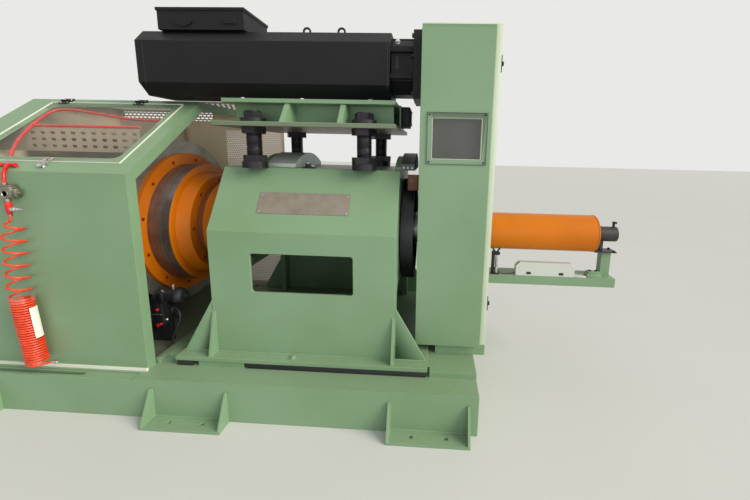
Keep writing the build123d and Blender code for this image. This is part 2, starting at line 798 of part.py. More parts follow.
def wire_guide():
    """Guide bush on a plate at the tube's mouth, bored for the strand."""
    right = guide_left + GUIDE_LENGTH
    stem_left = guide_left + GUIDE_STEM_INSET
    with BuildPart() as guide:
        add(block((guide_left, right), (-GUIDE_PLATE_WIDTH / 2, GUIDE_PLATE_WIDTH / 2),
                  (POST_TOP, POST_TOP + GUIDE_PLATE)))
        add(block((stem_left, stem_left + GUIDE_STEM_LENGTH),
                  (-GUIDE_STEM_WIDTH / 2, GUIDE_STEM_WIDTH / 2), (POST_TOP + GUIDE_PLATE, GUIDE_STEM_TOP)))
        add(axis_ring((guide_left, right), GUIDE_BODY_RADIUS, GUIDE_BORE_RADIUS))
    return guide.part


def guide_block():
    """Pale block on the arm, with chamfered upper corners and two bolt holes."""
    right = BLOCK_LEFT + BLOCK_LENGTH
    centre = BLOCK_LEFT + BLOCK_LENGTH / 2
    block_top = ARM_TOP + BLOCK_HEIGHT
    with BuildPart() as piece:
        with BuildSketch(Plane.XZ.offset(ARM_WIDTH / 2)):
            with BuildLine():
                Polyline(
                    (BLOCK_LEFT, ARM_TOP),
                    (BLOCK_LEFT, block_top - BLOCK_CHAMFER),
                    (BLOCK_LEFT + BLOCK_CHAMFER, block_top),
                    (right - BLOCK_CHAMFER, block_top),
                    (right, block_top - BLOCK_CHAMFER),
                    (right, ARM_TOP),
                    close=True,
                )
            make_face()
            with Locations((centre, ARM_TOP + BLOCK_HOLE_RISE)):
                with GridLocations(BLOCK_HOLE_SPACING, 0, 2, 1):
                    Circle(BLOCK_HOLE_RADIUS, mode=Mode.SUBTRACT)
        extrude(amount=-BLOCK_WIDTH)
    return piece.part


guard_middle = (GUARD_LEFT + GUARD_RIGHT) / 2
guard_run = GUARD_TOP_FRONT + GUARD_HALF_DEPTH
guard_rise = GUARD_TOP_HEIGHT - GUARD_FOLD_HEIGHT
slope_length = hypot(guard_run, guard_rise)
guard_slope = Plane(
    origin=(guard_middle, -GUARD_HALF_DEPTH, GUARD_FOLD_HEIGHT),
    x_dir=(1, 0, 0),
    z_dir=(0, -guard_rise, guard_run),
)
guard_outer = [
    (-GUARD_HALF_DEPTH, bed_top + SILL_HEIGHT),
    (-GUARD_HALF_DEPTH, GUARD_FOLD_HEIGHT),
    (GUARD_TOP_FRONT, GUARD_TOP_HEIGHT),
]
guard_inner = folded_sheet(guard_outer, GUARD_SHEET, upright_end=True)
hatch_centre = ((HATCH_LEFT + HATCH_RIGHT) / 2 - guard_middle, (HATCH_LOW + slope_length - HATCH_HIGH) / 2)
hatch_size = (HATCH_RIGHT - HATCH_LEFT, slope_length - HATCH_LOW - HATCH_HIGH)


def guard_front_panel():
    """Front sheet of the guard, folded into the sloping face with its round-cornered window."""
    with BuildPart() as panel:
        add(side_prism(guard_outer + guard_inner[::-1], (GUARD_LEFT, GUARD_RIGHT)))
        with BuildSketch(guard_slope):
            with Locations(hatch_centre):
                RectangleRounded(*hatch_size, HATCH_CORNER)
        extrude(amount=-GUARD_SHEET, mode=Mode.SUBTRACT)
    return panel.part


def guard_window():
    """Clear sheet laid over the sloping face's window."""
    with BuildPart() as pane:
        with BuildSketch(guard_slope):
            with Locations(hatch_centre):
                Rectangle(hatch_size[0] + 2 * HATCH_PANE_MARGIN, hatch_size[1] + 2 * HATCH_PANE_MARGIN)
        extrude(amount=PANE_THICKNESS)
    return pane.part


def guard_left_end():
    """End wall of the guard with a round opening for the rotor tube."""
    rear = GUARD_HALF_DEPTH - GUARD_SHEET
    roof = GUARD_TOP_HEIGHT - GUARD_SHEET
    roof_line = [(GUARD_TOP_FRONT, roof), (rear, roof), (rear, bed_top)]
    outline = [(guard_inner[0][0], bed_top), *guard_inner[1:], *roof_line]
    with BuildPart() as wall:
        add(side_prism(outline, (GUARD_LEFT, GUARD_LEFT + GUARD_SHEET)))
        with BuildSketch(Plane.YZ.offset(GUARD_LEFT)):
            with Locations((0, AXIS_HEIGHT)):
                Circle(TUBE_RADIUS + 2 * RUNNING_GAP)
        extrude(amount=GUARD_SHEET, mode=Mode.SUBTRACT)
    return wall.part


def guard_end_flanges():
    """Return flanges round the guard's right-hand opening: front, slope and roof."""
    foot = (guard_inner[0][0], bed_top)
    rear = GUARD_HALF_DEPTH - GUARD_SHEET
    roof = GUARD_TOP_HEIGHT - GUARD_SHEET
    roof_low = roof - GUARD_END_FLANGE
    slope_point = (guard_inner[2][0] - (guard_inner[2][1] - roof_low) * guard_run / guard_rise, roof_low)
    inside = folded_sheet([foot, guard_inner[1], slope_point], GUARD_END_FLANGE)
    outline = [foot, guard_inner[1], guard_inner[2], (GUARD_TOP_FRONT, roof), (rear, roof), (rear, roof_low)]
    return side_prism(outline + inside[::-1], (GUARD_RIGHT - GUARD_SHEET, GUARD_RIGHT))


def guard_screen():
    """Perforated inner strip behind the guard's window, fixed to the left end wall."""
    screen_left = GUARD_LEFT + GUARD_SHEET
    with BuildPart() as screen:
        with BuildSketch(Plane.XZ.offset(-SCREEN_Y)):
            with Locations((screen_left + SCREEN_LENGTH / 2, SCREEN_BOTTOM + SCREEN_HEIGHT / 2)):
                Rectangle(SCREEN_LENGTH, SCREEN_HEIGHT)
            with Locations((SCREEN_HOLES_X, SCREEN_BOTTOM + SCREEN_HEIGHT / 2)):
                with GridLocations(SCREEN_HOLE_PITCH, SCREEN_ROW_PITCH, SCREEN_HOLE_COLUMNS, SCREEN_HOLE_ROWS):
                    SlotOverall(SCREEN_HOLE_WIDTH, SCREEN_HOLE_WIDTH / 2, mode=Mode.SUBTRACT)
        extrude(amount=-SCREEN_SHEET)
    return screen.part


def brake_caliper():
    """Caliper that straddles the brake disc, on its bracket from the bed."""
    length, depth, height = CALIPER_SIZE
    middle = (disc_left + flange_left) / 2
    with BuildPart() as caliper:
        add(block((middle - length / 2, middle + length / 2),
                  (CALIPER_Y - depth / 2, CALIPER_Y + depth / 2),
                  (CALIPER_Z - height / 2, CALIPER_Z + height / 2)))
        with BuildSketch(Plane.YZ.offset(middle - CALIPER_SLOT / 2)):
            with Locations((0, AXIS_HEIGHT)):
                Circle(DISC_RADIUS + RUNNING_GAP)
        extrude(amount=CALIPER_SLOT, mode=Mode.SUBTRACT)
    return caliper.part


def caliper_bracket():
    """Upright plate that carries the caliper."""
    length, height = CALIPER_SIZE[0], CALIPER_SIZE[2]
    middle = (disc_left + flange_left) / 2
    limits = (CALIPER_Y - BRACKET_THICKNESS / 2, CALIPER_Y + BRACKET_THICKNESS / 2)
    return block((middle - length / 2, middle + length / 2), limits, (bed_top, CALIPER_Z - height / 2))


def air_valve():
    """Air valve and filter body on the guard's front, with its lower elbow."""
    face = -GUARD_HALF_DEPTH
    half = VALVE_SIZE / 2
    with BuildPart() as valve:
        add(block((VALVE_X - half, VALVE_X + half), (face - VALVE_DEPTH, face),
                  (VALVE_Z - half, VALVE_Z + half)))
        with BuildSketch(Plane.XY.offset(HOSE_POINTS[0][1])):
            with Locations((HOSE_POINTS[0][0], face - HOSE_RADIUS - HOSE_STANDOFF)):
                Circle(VALVE_PIPE_RADIUS)
        extrude(amount=VALVE_Z - HOSE_POINTS[0][1])
    return valve.part


def spiral_hose():
    """Outer shape of the coiled air hose that hangs from the valve, with its loose end's fitting."""
    y = -GUARD_HALF_DEPTH - HOSE_RADIUS - HOSE_STANDOFF
    points = [Vector(x, y, z) for x, z in HOSE_POINTS]
    radii = []
    for before, here, after in zip(points, points[1:], points[2:]):
        turn = (here - before).get_angle(after - here)
        shorter = min((here - before).length, (after - here).length)
        radii.append(HOSE_BEND_SHARE * shorter / tan(radians(turn) / 2))
    with BuildPart() as hose:
        with BuildLine() as route:
            FilletPolyline(*points, radius=radii)
        with BuildSketch(Plane(origin=points[0], z_dir=route.line % 0)):
            Circle(HOSE_RADIUS)
        sweep()
        with BuildSketch(Plane.YZ.offset(points[-1].X)):
            with Locations((y, HOSE_FITTING_Z)):
                Circle(HOSE_FITTING_RADIUS)
        extrude(amount=HOSE_FITTING_REACH)
    return hose.part


guard_x = (GUARD_LEFT, GUARD_RIGHT)
pieces = {
    "bed_long_beams": long_beams(),
    "bed_cross_beams": cross_beams(),
    "bed_top_plate": bed_top_plate(),
    "bed_feet": bed_feet(),
    "headstock_sole": block((-HEAD_SOLE_LENGTH / 2, HEAD_SOLE_LENGTH / 2),
                            (-HEAD_SOLE_DEPTH / 2, HEAD_SOLE_DEPTH / 2), (pad_top, sole_top)),
    "headstock_front_panel": head_panel(-1),
    "headstock_rear_panel": head_panel(1),
    "headstock_top_plate": head_top_plate(),
    "headstock_left_plate": head_end_plate(-1),
    "headstock_right_plate": head_end_plate(1),
    "headstock_hood": crest(CREST_LEFT + CREST_LENGTH, HOOD_LENGTH, HOOD_RADIUS, HOOD_HALF_DEPTH),
    "shaft_hood": crest(head_half, SHAFT_HOOD_LENGTH, SHAFT_HOOD_RADIUS, HOOD_HALF_DEPTH),
    "headstock_gussets": head_gussets(),
    "headstock_nameplate": nameplate(),
    "bearing_housings": bearing_housings(),
    "rotor_tube": axis_ring((tube_left, disc_left), TUBE_RADIUS, TUBE_RADIUS - TUBE_WALL),
    "rotor_coupling_flange": coupling_flange(),
    "brake_disc": axis_ring((disc_left, flange_left), DISC_RADIUS, STRAND_BORE_RADIUS),
    "rotor_flange": axis_ring((flange_left, band_left), FLANGE_RADIUS, STRAND_BORE_RADIUS),
    "support_ring": axis_ring((band_left, neck_left), BAND_RADIUS, STRAND_BORE_RADIUS),
    "rotor_neck": axis_ring((neck_left, recess_left), NECK_RADIUS, STRAND_BORE_RADIUS, NECK_END_RADIUS),
    "rotor_recess": axis_ring((recess_left, hub_left), RECESS_RADIUS, STRAND_BORE_RADIUS),
    "rotor_hub": axis_ring((hub_left, hub_right), HUB_RADIUS, STRAND_BORE_RADIUS),
    "main_shaft": main_shaft(),
    "drive_drum": drive_drum(),
    "output_tube": axis_ring((output_left, output_right), OUTPUT_RADIUS, OUTPUT_RADIUS - OUTPUT_WALL),
    "platform_lower_plate": platform_lower_plate(),
    "platform_ribs": platform_ribs(),
    "jack_studs": jack_studs(),
    "platform_upper_plate": block((-UPPER_PLATE_LENGTH / 2, UPPER_PLATE_LENGTH / 2),
                                  (-UPPER_PLATE_DEPTH / 2, UPPER_PLATE_DEPTH / 2),
                                  (upper_plate_bottom, upper_plate_top)),
    "motor_body": motor_body(),
    "motor_flange": motor_flange(),
    "motor_terminal_box": terminal_box(),
    "motor_lifting_eyes": lifting_eyes(),
    "belt_guard_casing": belt_casing(),
    "belt_guard_door": belt_door(),
    "belt_guard_window": belt_window(),
    "outlet_arm": outlet_arm(),
    "wire_guide": wire_guide(),
    "guide_block": guide_block(),
    "guard_front_panel": guard_front_panel(),
    "guard_sill": block(guard_x, (-GUARD_HALF_DEPTH - SILL_WIDTH, -GUARD_HALF_DEPTH + GUARD_SHEET),
                        (bed_top, bed_top + SILL_HEIGHT)),
    "guard_window": guard_window(),
    "guard_roof": block((GUARD_LEFT, GUARD_REAR_RIGHT), (GUARD_TOP_FRONT, GUARD_HALF_DEPTH),
                        (GUARD_TOP_HEIGHT - GUARD_SHEET, GUARD_TOP_HEIGHT)),
    "guard_rear_wall": block((GUARD_LEFT, GUARD_REAR_RIGHT),
                             (GUARD_HALF_DEPTH - GUARD_SHEET, GUARD_HALF_DEPTH),
                             (bed_top, GUARD_TOP_HEIGHT - GUARD_SHEET)),
    "guard_left_end": guard_left_end(),
    "guard_end_flanges": guard_end_flanges(),
    "guard_screen": guard_screen(),
    "brake_caliper": brake_caliper(),
    "brake_bracket": caliper_bracket(),
    "air_valve": air_valve(),
    "spiral_hose": spiral_hose(),
}
for name, piece in pieces.items():
    piece.label = name
    export_step(piece, f"parts/{name}.step")
print(len(pieces), "pieces")
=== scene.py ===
from math import cos, pi, radians, sin

import bmesh
import bpy
from mathutils import Matrix, Vector


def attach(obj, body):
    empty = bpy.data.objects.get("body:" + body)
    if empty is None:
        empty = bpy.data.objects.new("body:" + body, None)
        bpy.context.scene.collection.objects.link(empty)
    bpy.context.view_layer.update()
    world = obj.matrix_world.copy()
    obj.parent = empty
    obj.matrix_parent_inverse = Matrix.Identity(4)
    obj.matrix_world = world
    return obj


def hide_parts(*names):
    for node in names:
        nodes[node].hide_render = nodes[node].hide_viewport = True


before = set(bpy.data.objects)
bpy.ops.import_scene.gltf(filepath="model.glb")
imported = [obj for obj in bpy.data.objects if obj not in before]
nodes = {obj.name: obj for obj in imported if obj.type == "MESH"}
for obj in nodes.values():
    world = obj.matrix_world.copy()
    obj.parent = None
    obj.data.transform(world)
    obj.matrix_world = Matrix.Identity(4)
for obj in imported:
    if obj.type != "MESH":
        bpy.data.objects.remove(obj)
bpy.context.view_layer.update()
scene = bpy.context.scene
axisZ = 1.0  # height of the rotor's axis, in metres


def linear(code):
    parts = [int(code[i:i + 2], 16) / 255 for i in (1, 3, 5)]
    return tuple(p / 12.92 if p <= 0.04045 else ((p + 0.055) / 1.055) ** 2.4 for p in parts) + (1.0,)


def fillInputs(tree, node, values=(), links=()):
    for key, value in dict(values).items():
        node.inputs[key].default_value = value
    for key, source in dict(links).items():
        tree.links.new(source, node.inputs[key])


def addNode(tree, kind, settings=(), values=(), links=()):
    node = tree.nodes.new(kind)
    for name, value in dict(settings).items():
        setattr(node, name, value)
    fillInputs(tree, node, values, links)
    return node


# Camera: a phone's wide lens at the operator's eye height
camera = {
    "place": (0.7614, -2.4887, 1.5469),
    "turnedLeft": 2.653,
    "tiltedDown": 9.730,
    "roll": -1.307,
    "lens": 17.05,
    "shiftX": -0.0559,
    "shiftY": -0.0517,
}


def makeCamera(view):
    yaw, tilt, roll = (radians(view[name]) for name in ("turnedLeft", "tiltedDown", "roll"))
    ahead = Vector((-sin(yaw) * cos(tilt), cos(yaw) * cos(tilt), -sin(tilt)))
    level = Vector((cos(yaw), sin(yaw), 0))
    down = ahead.cross(level)
    right = level * cos(roll) + down * sin(roll)
    lower = down * cos(roll) - level * sin(roll)
    turned = Matrix((right, -lower, -ahead)).transposed()
    data = bpy.data.cameras.new("viewCamera")
    data.lens, data.sensor_width = view["lens"], 36
    data.shift_x, data.shift_y = view["shiftX"], view["shiftY"]
    data.clip_start, data.clip_end = 0.05, 100
    made = bpy.data.objects.new("viewCamera", data)
    made.matrix_world = Matrix.Translation(view["place"]) @ turned.to_4x4()
    scene.collection.objects.link(made)
    scene.camera = made


makeCamera(camera)
scene.view_settings.view_transform = "Standard"
print("camera placed")


def nurbsLine(name, points, diameter=0.0, resolution=8):
    data = bpy.data.curves.new(name, "CURVE")
    data.dimensions = "3D"
    data.bevel_depth, data.bevel_resolution = 1.0 if diameter else 0.0, 3
    data.resolution_u, data.use_fill_caps = resolution, True
    spline = data.splines.new("NURBS")
    spline.points.add(len(points) - 1)
    for spot, place in zip(spline.points, points):
        spot.co = (*place, 1)
        spot.radius = max(diameter / 2, 0.001)  # the thickness is here, so that the object's box stays true
    spline.order_u = 3
    spline.use_endpoint_u = True
    made = bpy.data.objects.new(name, data)
    scene.collection.objects.link(made)
    return made


def pointsAlong(line):
    mesh = bpy.data.meshes.new_from_object(line)
    found = [vert.co.copy() for vert in mesh.vertices]
    bpy.data.meshes.remove(mesh)
    return found


# Spiral air hose: 12 mm polyurethane on its solid's route, close turns below, stretched turns above
spiralHose = {
    "route": [(-1.486, -0.739, 1.155), (-1.486, -0.739, 1.040), (-1.495, -0.739, 0.915),
              (-1.507, -0.739, 0.790), (-1.504, -0.739, 0.660), (-1.492, -0.739, 0.530),
              (-1.478, -0.739, 0.400), (-1.471, -0.739, 0.292)],
    "diameter": 0.012,
    "length": 9.2,
    "coilRadius": 0.046,
    "leadIn": (1.140, 1.130),  # heights of two more points above the first turn
    "straightTo": 1.122,  # height at which the first turn starts
    "closeFrom": 0.690,  # height at which the close turns start
    "bottom": 0.306,
    "openTurns": 6.25,
    "closeTurns": 27,
    "firstReach": 0.35,  # share of the coil's radius at which the first turn starts
    "growTurns": 0.75,  # turns that it takes to reach the whole radius
    "perTurn": 14,
    "tail": [(0.032, -0.783, 0.307), (0.058, -0.768, 0.309), (0.074, -0.748, 0.310), (0.096, -0.739, 0.310)],
}


def windHose(hose):
    route = nurbsLine("hoseRoute", hose["route"], resolution=12)
    middle = pointsAlong(route)
    bpy.data.objects.remove(route)

    def centreAt(height):
        upper = min((p for p in middle if p.z >= height), key=lambda p: p.z, default=middle[0])
        lower = max((p for p in middle if p.z < height), key=lambda p: p.z, default=middle[-1])
        share = 0 if upper is lower else (upper.z - height) / max(upper.z - lower.z, 1e-6)
        return upper.lerp(lower, share)

    turns = hose["openTurns"] + hose["closeTurns"]
    points = [hose["route"][0]] + [(*centreAt(height).xy, height) for height in hose["leadIn"]]
    for step in range(int(turns * hose["perTurn"]) + 1):
        done = min(step / hose["perTurn"], turns)
        if done < hose["openTurns"]:
            share = done / hose["openTurns"]
            height = hose["straightTo"] + (hose["closeFrom"] - hose["straightTo"]) * share
        else:
            share = (done - hose["openTurns"]) / hose["closeTurns"]
            height = hose["closeFrom"] + (hose["bottom"] - hose["closeFrom"]) * share
        angle = 2 * pi * (done - turns) - pi / 2
        grown = min(done / hose["growTurns"], 1.0)
        first = hose["firstReach"]
        reach = hose["coilRadius"] * (first + (1 - first) * grown * (2 - grown))
        centre = centreAt(height)
        points.append((centre.x + reach * cos(angle), centre.y + reach * sin(angle), height))
    last = centreAt(hose["bottom"])
    points += [(last.x + x, y, z) for x, y, z in hose["tail"]]
    return nurbsLine("spiral_hose_coil", points, hose["diameter"], resolution=3)


hoseCoil = windHose(spiralHose)
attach(hoseCoil, "stand")
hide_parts("spiral_hose")

# Red air lines: a short one from the valve to the window's tee, a long one round the window's edge
valveAirLine = {
    "diameter": 0.019,
    "route": [(-1.531, -0.705, 1.318), (-1.531, -0.705, 1.338), (-1.532, -0.703, 1.360),
              (-1.538, -0.694, 1.385), (-1.548, -0.676, 1.405), (-1.556, -0.657, 1.419)],
    "length": 0.122,
}
windowAirLine = {
    "diameter": 0.018,
    "route": [(-1.640, -0.606, 1.402), (-1.650, -0.590, 1.414), (-1.672, -0.556, 1.440),
              (-1.738, -0.460, 1.525), (-1.788, -0.365, 1.5930), (-1.815, -0.283, 1.6495),
              (-1.834, -0.215, 1.6963), (-1.844, -0.150, 1.738), (-1.832, -0.105, 1.762),
              (-1.780, -0.094, 1.769), (-1.700, -0.095, 1.765), (-1.600, -0.100, 1.752),
              (-1.480, -0.105, 1.735), (-1.350, -0.105, 1.716), (-1.200, -0.102, 1.704),
              (-1.060, -0.100, 1.712), (-0.950, -0.100, 1.736), (-0.884, -0.100, 1.746)],
    "length": 1.615,
}
# Rubber air hose of the brake, from the caliper's front down through the bed's top plate
brakeHose = {
    "diameter": 0.014,
    "route": [(-0.955, -0.392, 0.512), (-0.925, -0.396, 0.512), (-0.885, -0.406, 0.508),
              (-0.848, -0.420, 0.488), (-0.840, -0.432, 0.445), (-0.858, -0.440, 0.395),
              (-0.884, -0.445, 0.340), (-0.898, -0.446, 0.285), (-0.900, -0.446, 0.242)],
    "length": 0.36,
}
# Sensor cable on the outlet arm, from the roller bracket's foot to the pale block
sensorCable = {
    "diameter": 0.006,
    "route": [(1.234, -0.052, 0.718), (1.240, -0.052, 0.716), (1.246, -0.054, 0.711),
              (1.254, -0.060, 0.706), (1.262, -0.064, 0.704), (1.300, -0.062, 0.704),
              (1.330, -0.058, 0.707), (1.350, -0.057, 0.714)],
    "length": 0.123,
}


def layLine(name, cord):
    line = nurbsLine(name, cord["route"], cord["diameter"])
    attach(line, "stand")
    return line


valveLine = layLine("valve_air_line", valveAirLine)
windowLine = layLine("window_air_line", windowAirLine)
brakeLine = layLine("brake_air_hose", brakeHose)
sensorLine = layLine("sensor_cable", sensorCable)
print("hose and air lines laid")


def startMaterial(name):
    material = bpy.data.materials.new(name)
    material.use_nodes = True
    tree = material.node_tree
    shader = tree.nodes["Principled BSDF"]
    place = tree.nodes.new("ShaderNodeTexCoord").outputs["Object"]
    return material, tree, shader, place


def grain(tree, place, size, detail=2.0, rough=0.5, stretch=(1, 1, 1)):
    # Uneven tone whose patches are about size millimetres across
    mapped = addNode(tree, "ShaderNodeMapping", values={"Scale": stretch}, links={"Vector": place})
    return addNode(tree, "ShaderNodeTexNoise",
                   values={"Scale": 1000 / size, "Detail": detail, "Roughness": rough},
                   links={"Vector": mapped.outputs[0]}).outputs["Fac"]


def paintedShadePatch(tree, place, broad, inside, colour, look):
    # Painted shade that darkens part of a plate, on the bed top together with an oil film: each fade runs
    # from its first value, unshaded, to its second, shaded, along one axis
    along = addNode(tree, "ShaderNodeSeparateXYZ", links={0: place}).outputs
    reach = addNode(tree, "ShaderNodeMapRange",
                    values={"From Min": 0.35, "From Max": 0.65, "To Min": 0.80}, links={"Value": broad})
    fades = [addNode(tree, "ShaderNodeMapRange", values={"From Min": clean, "From Max": shadedAt},
                     links={"Value": along[axis]}) for axis, clean, shadedAt in look["stainFades"]]
    for fade in fades + inside:
        reach = addNode(tree, "ShaderNodeMath", {"operation": "MULTIPLY"},
                        links={0: reach.outputs[0], 1: fade.outputs[0]})
    return addNode(tree, "ShaderNodeMix", {"data_type": "RGBA"}, {7: linear(look["stain"])},
                   {0: reach.outputs[0], 6: colour.outputs[2]})


def sprayedEnamel(name, look):
    # Two-pack enamel sprayed on plate: an even colour, faint orange peel, soft window reflections
    material, tree, shader, place = startMaterial(name)
    broad = grain(tree, place, 588, 3)  # clouding, from uneven spray passes
    fine = grain(tree, place, 26.3, 4, 0.6)  # mottling of handled paint
    scuffs = grain(tree, place, 10.5, 2)
    ripple = grain(tree, place, 111, 1)  # slow ripple of hand-filled plate
    peel = grain(tree, place, 3.85, 2)  # orange peel
    clouded = addNode(tree, "ShaderNodeMapRange", values={"From Min": 0.35, "From Max": 0.65},
                      links={"Value": broad})
    colour = addNode(tree, "ShaderNodeMix", {"data_type": "RGBA"},
                     {6: linear(look["base"]), 7: linear(look["shade"])}, {0: clouded.outputs[0]})
    normal = addNode(tree, "ShaderNodeNewGeometry").outputs["Normal"]
    facing = addNode(tree, "ShaderNodeSeparateXYZ", links={0: normal}).outputs
    inside = []
    if "inner" in look:  # the sheet's other face has its own colour
        turn = 0.2 * look.get("innerFaces", -1)
        inside = [addNode(tree, "ShaderNodeMapRange", values={"From Min": -turn, "From Max": turn},
                          links={"Value": facing[look["side"]]})]
        colour = addNode(tree, "ShaderNodeMix", {"data_type": "RGBA"}, {7: linear(look["inner"])},
                         {0: inside[0].outputs[0], 6: colour.outputs[2]})
    # painted shade: on the bed top under the rotor and guard, and on the end wall's inner face low down
    if "stain" in look:
        colour = paintedShadePatch(tree, place, broad, inside, colour, look)
    # Upward faces are mixed towards the dust colour: settled dust and painted light from above
    upward = addNode(tree, "ShaderNodeMapRange", values={"From Min": 0.6, "To Max": look["dustAndTopLightShare"]},
                     links={"Value": facing["Z"]})
    dustedAndLitTops = addNode(tree, "ShaderNodeMath", {"operation": "MULTIPLY"},
                      links={0: upward.outputs[0], 1: fine})
    colour = addNode(tree, "ShaderNodeMix", {"data_type": "RGBA"}, {7: linear(look["dustAndTopLight"])},
                     {0: dustedAndLitTops.outputs[0], 6: colour.outputs[2]})
    rubbed = addNode(tree, "ShaderNodeMapRange",
                     values={"From Min": 0.70, "From Max": 0.78, "To Max": look["scuffs"]},
                     links={"Value": scuffs})
    colour = addNode(tree, "ShaderNodeMix", {"data_type": "RGBA"}, {7: linear(look["worn"])},
                     {0: rubbed.outputs[0], 6: colour.outputs[2]})
    rough = addNode(tree, "ShaderNodeMapRange",
                    values={"From Min": 0.3, "From Max": 0.7, "To Min": look["rough"] - 0.05,
                            "To Max": look["rough"] + 0.09}, links={"Value": fine})
    filled = addNode(tree, "ShaderNodeBump", values={"Strength": 0.05, "Distance": 0.02},
                     links={"Height": ripple})
    skin = addNode(tree, "ShaderNodeBump", values={"Strength": look["peel"], "Distance": 0.0006},
                   links={"Height": peel, "Normal": filled.outputs[0]})
    fillInputs(tree, shader,
               {"Coat Weight": look["coat"], "Coat Roughness": 0.16, "IOR": look.get("index", 1.5)},
               {"Base Color": colour.outputs[2], "Roughness": rough.outputs[0], "Normal": skin.outputs[0]})
    return material


# In each enamel's look, the dust colour also stands for painted light on upward faces
# A chalked or handled skin mirrors less than fresh enamel, so its index is under the usual 1.5
greenLook = {"base": "#7B9877", "shade": "#74906D", "worn": "#8CA486", "dustAndTopLight": "#A2AE92",
             "rough": 0.42, "peel": 0.22, "coat": 0.06, "dustAndTopLightShare": 0.35, "scuffs": 0.35, "index": 1.40}
greenPaint = sprayedEnamel("sageGreenEnamel", greenLook)
roofPaint = sprayedEnamel("roofSheetEnamel", {**greenLook, "inner": "#A8937C", "side": "Z"})
rearPaint = sprayedEnamel("rearWallEnamel", {**greenLook, "inner": "#E0CDB0", "side": "Y"})
# Guard's left end: beige inside, its inner face painted darker low down and towards the back, as painted
# shade inside the guard
endPaint = sprayedEnamel("endWallEnamel", {
    **greenLook, "inner": "#F6DEBF", "side": "X", "innerFaces": 1, "stain": "#55452F",
    "stainFades": (("Z", 1.66, 1.61), ("Y", -0.16, -0.10))})
# Bed top: darker under the rotor and inside the guard, as painted shade together with an oil film
bedPaint = sprayedEnamel("bedTopEnamel", {
    **greenLook, "stain": "#525A46",
    "stainFades": (("X", -0.80, -0.92), ("X", -2.12, -2.06), ("Y", -0.62, -0.57), ("Y", 0.70, 0.64))})
platePaint = sprayedEnamel("platformPlateEnamel", {**greenLook, "inner": "#54493F", "side": "Z"})
orangeLook = {"base": "#D17400", "shade": "#C46900", "worn": "#D28216", "dustAndTopLight": "#C87A1C", "rough": 0.38,
              "peel": 0.18, "coat": 0.0, "dustAndTopLightShare": 0.10, "scuffs": 0.25, "index": 1.33}
orangePaint = sprayedEnamel("orangeTubeEnamel", orangeLook)
# The rotor's copy of the tube's orange enamel, painted darker as shade for the partial shade the rotor sits
# in
rotorShadedOrange = sprayedEnamel("orangeRotorEnamelPaintedShade", {**orangeLook, "base": "#BE6600", "shade": "#AE5A00",
                                                 "worn": "#C87A1C", "dustAndTopLight": "#A86A20"})
# Pale green painted highlight for the lit edges of the belt guard's casing
edgeHighlightPaint = sprayedEnamel("edgePaintedHighlightEnamel", {**greenLook, "base": "#C9D2BC", "shade": "#C0CAB0",
                                                  "worn": "#DADFCF", "dustAndTopLight": "#D2D6C6"})
motorEnamel = sprayedEnamel("blackMotorEnamel", {
    "base": "#18181B", "shade": "#141417", "worn": "#26262A", "dustAndTopLight": "#33312F",
    "rough": 0.5, "peel": 0.35, "coat": 0.0, "dustAndTopLightShare": 0.35, "scuffs": 0.2, "index": 1.33})
brownPrimer = sprayedEnamel("brownPrimer", {
    "base": "#6E3B12", "shade": "#5C2F10", "worn": "#86512A", "dustAndTopLight": "#7A5A42",
    "rough": 0.5, "peel": 0.3, "coat": 0.1, "dustAndTopLightShare": 0.2, "scuffs": 0.4})
beigePaint = sprayedEnamel("beigePowderCoat", {
    "base": "#A8977F", "shade": "#9E8C75", "worn": "#B9AB96", "dustAndTopLight": "#BBB0A0",
    "rough": 0.55, "peel": 0.4, "coat": 0.0, "dustAndTopLightShare": 0.3, "scuffs": 0.2})
whiteTrim = sprayedEnamel("ivoryTrimPaint", {
    "base": "#E2E3D4", "shade": "#D9DACA", "worn": "#EFEFE6", "dustAndTopLight": "#D0CFC4",
    "rough": 0.42, "peel": 0.15, "coat": 0.1, "dustAndTopLightShare": 0.3, "scuffs": 0.3})
blockPaint = sprayedEnamel("paleBlockPaint", {
    "base": "#C4C8BF", "shade": "#BABFB5", "worn": "#DADDD0", "dustAndTopLight": "#D0D2C6",
    "rough": 0.5, "peel": 0.3, "coat": 0.0, "dustAndTopLightShare": 0.2, "scuffs": 0.6})


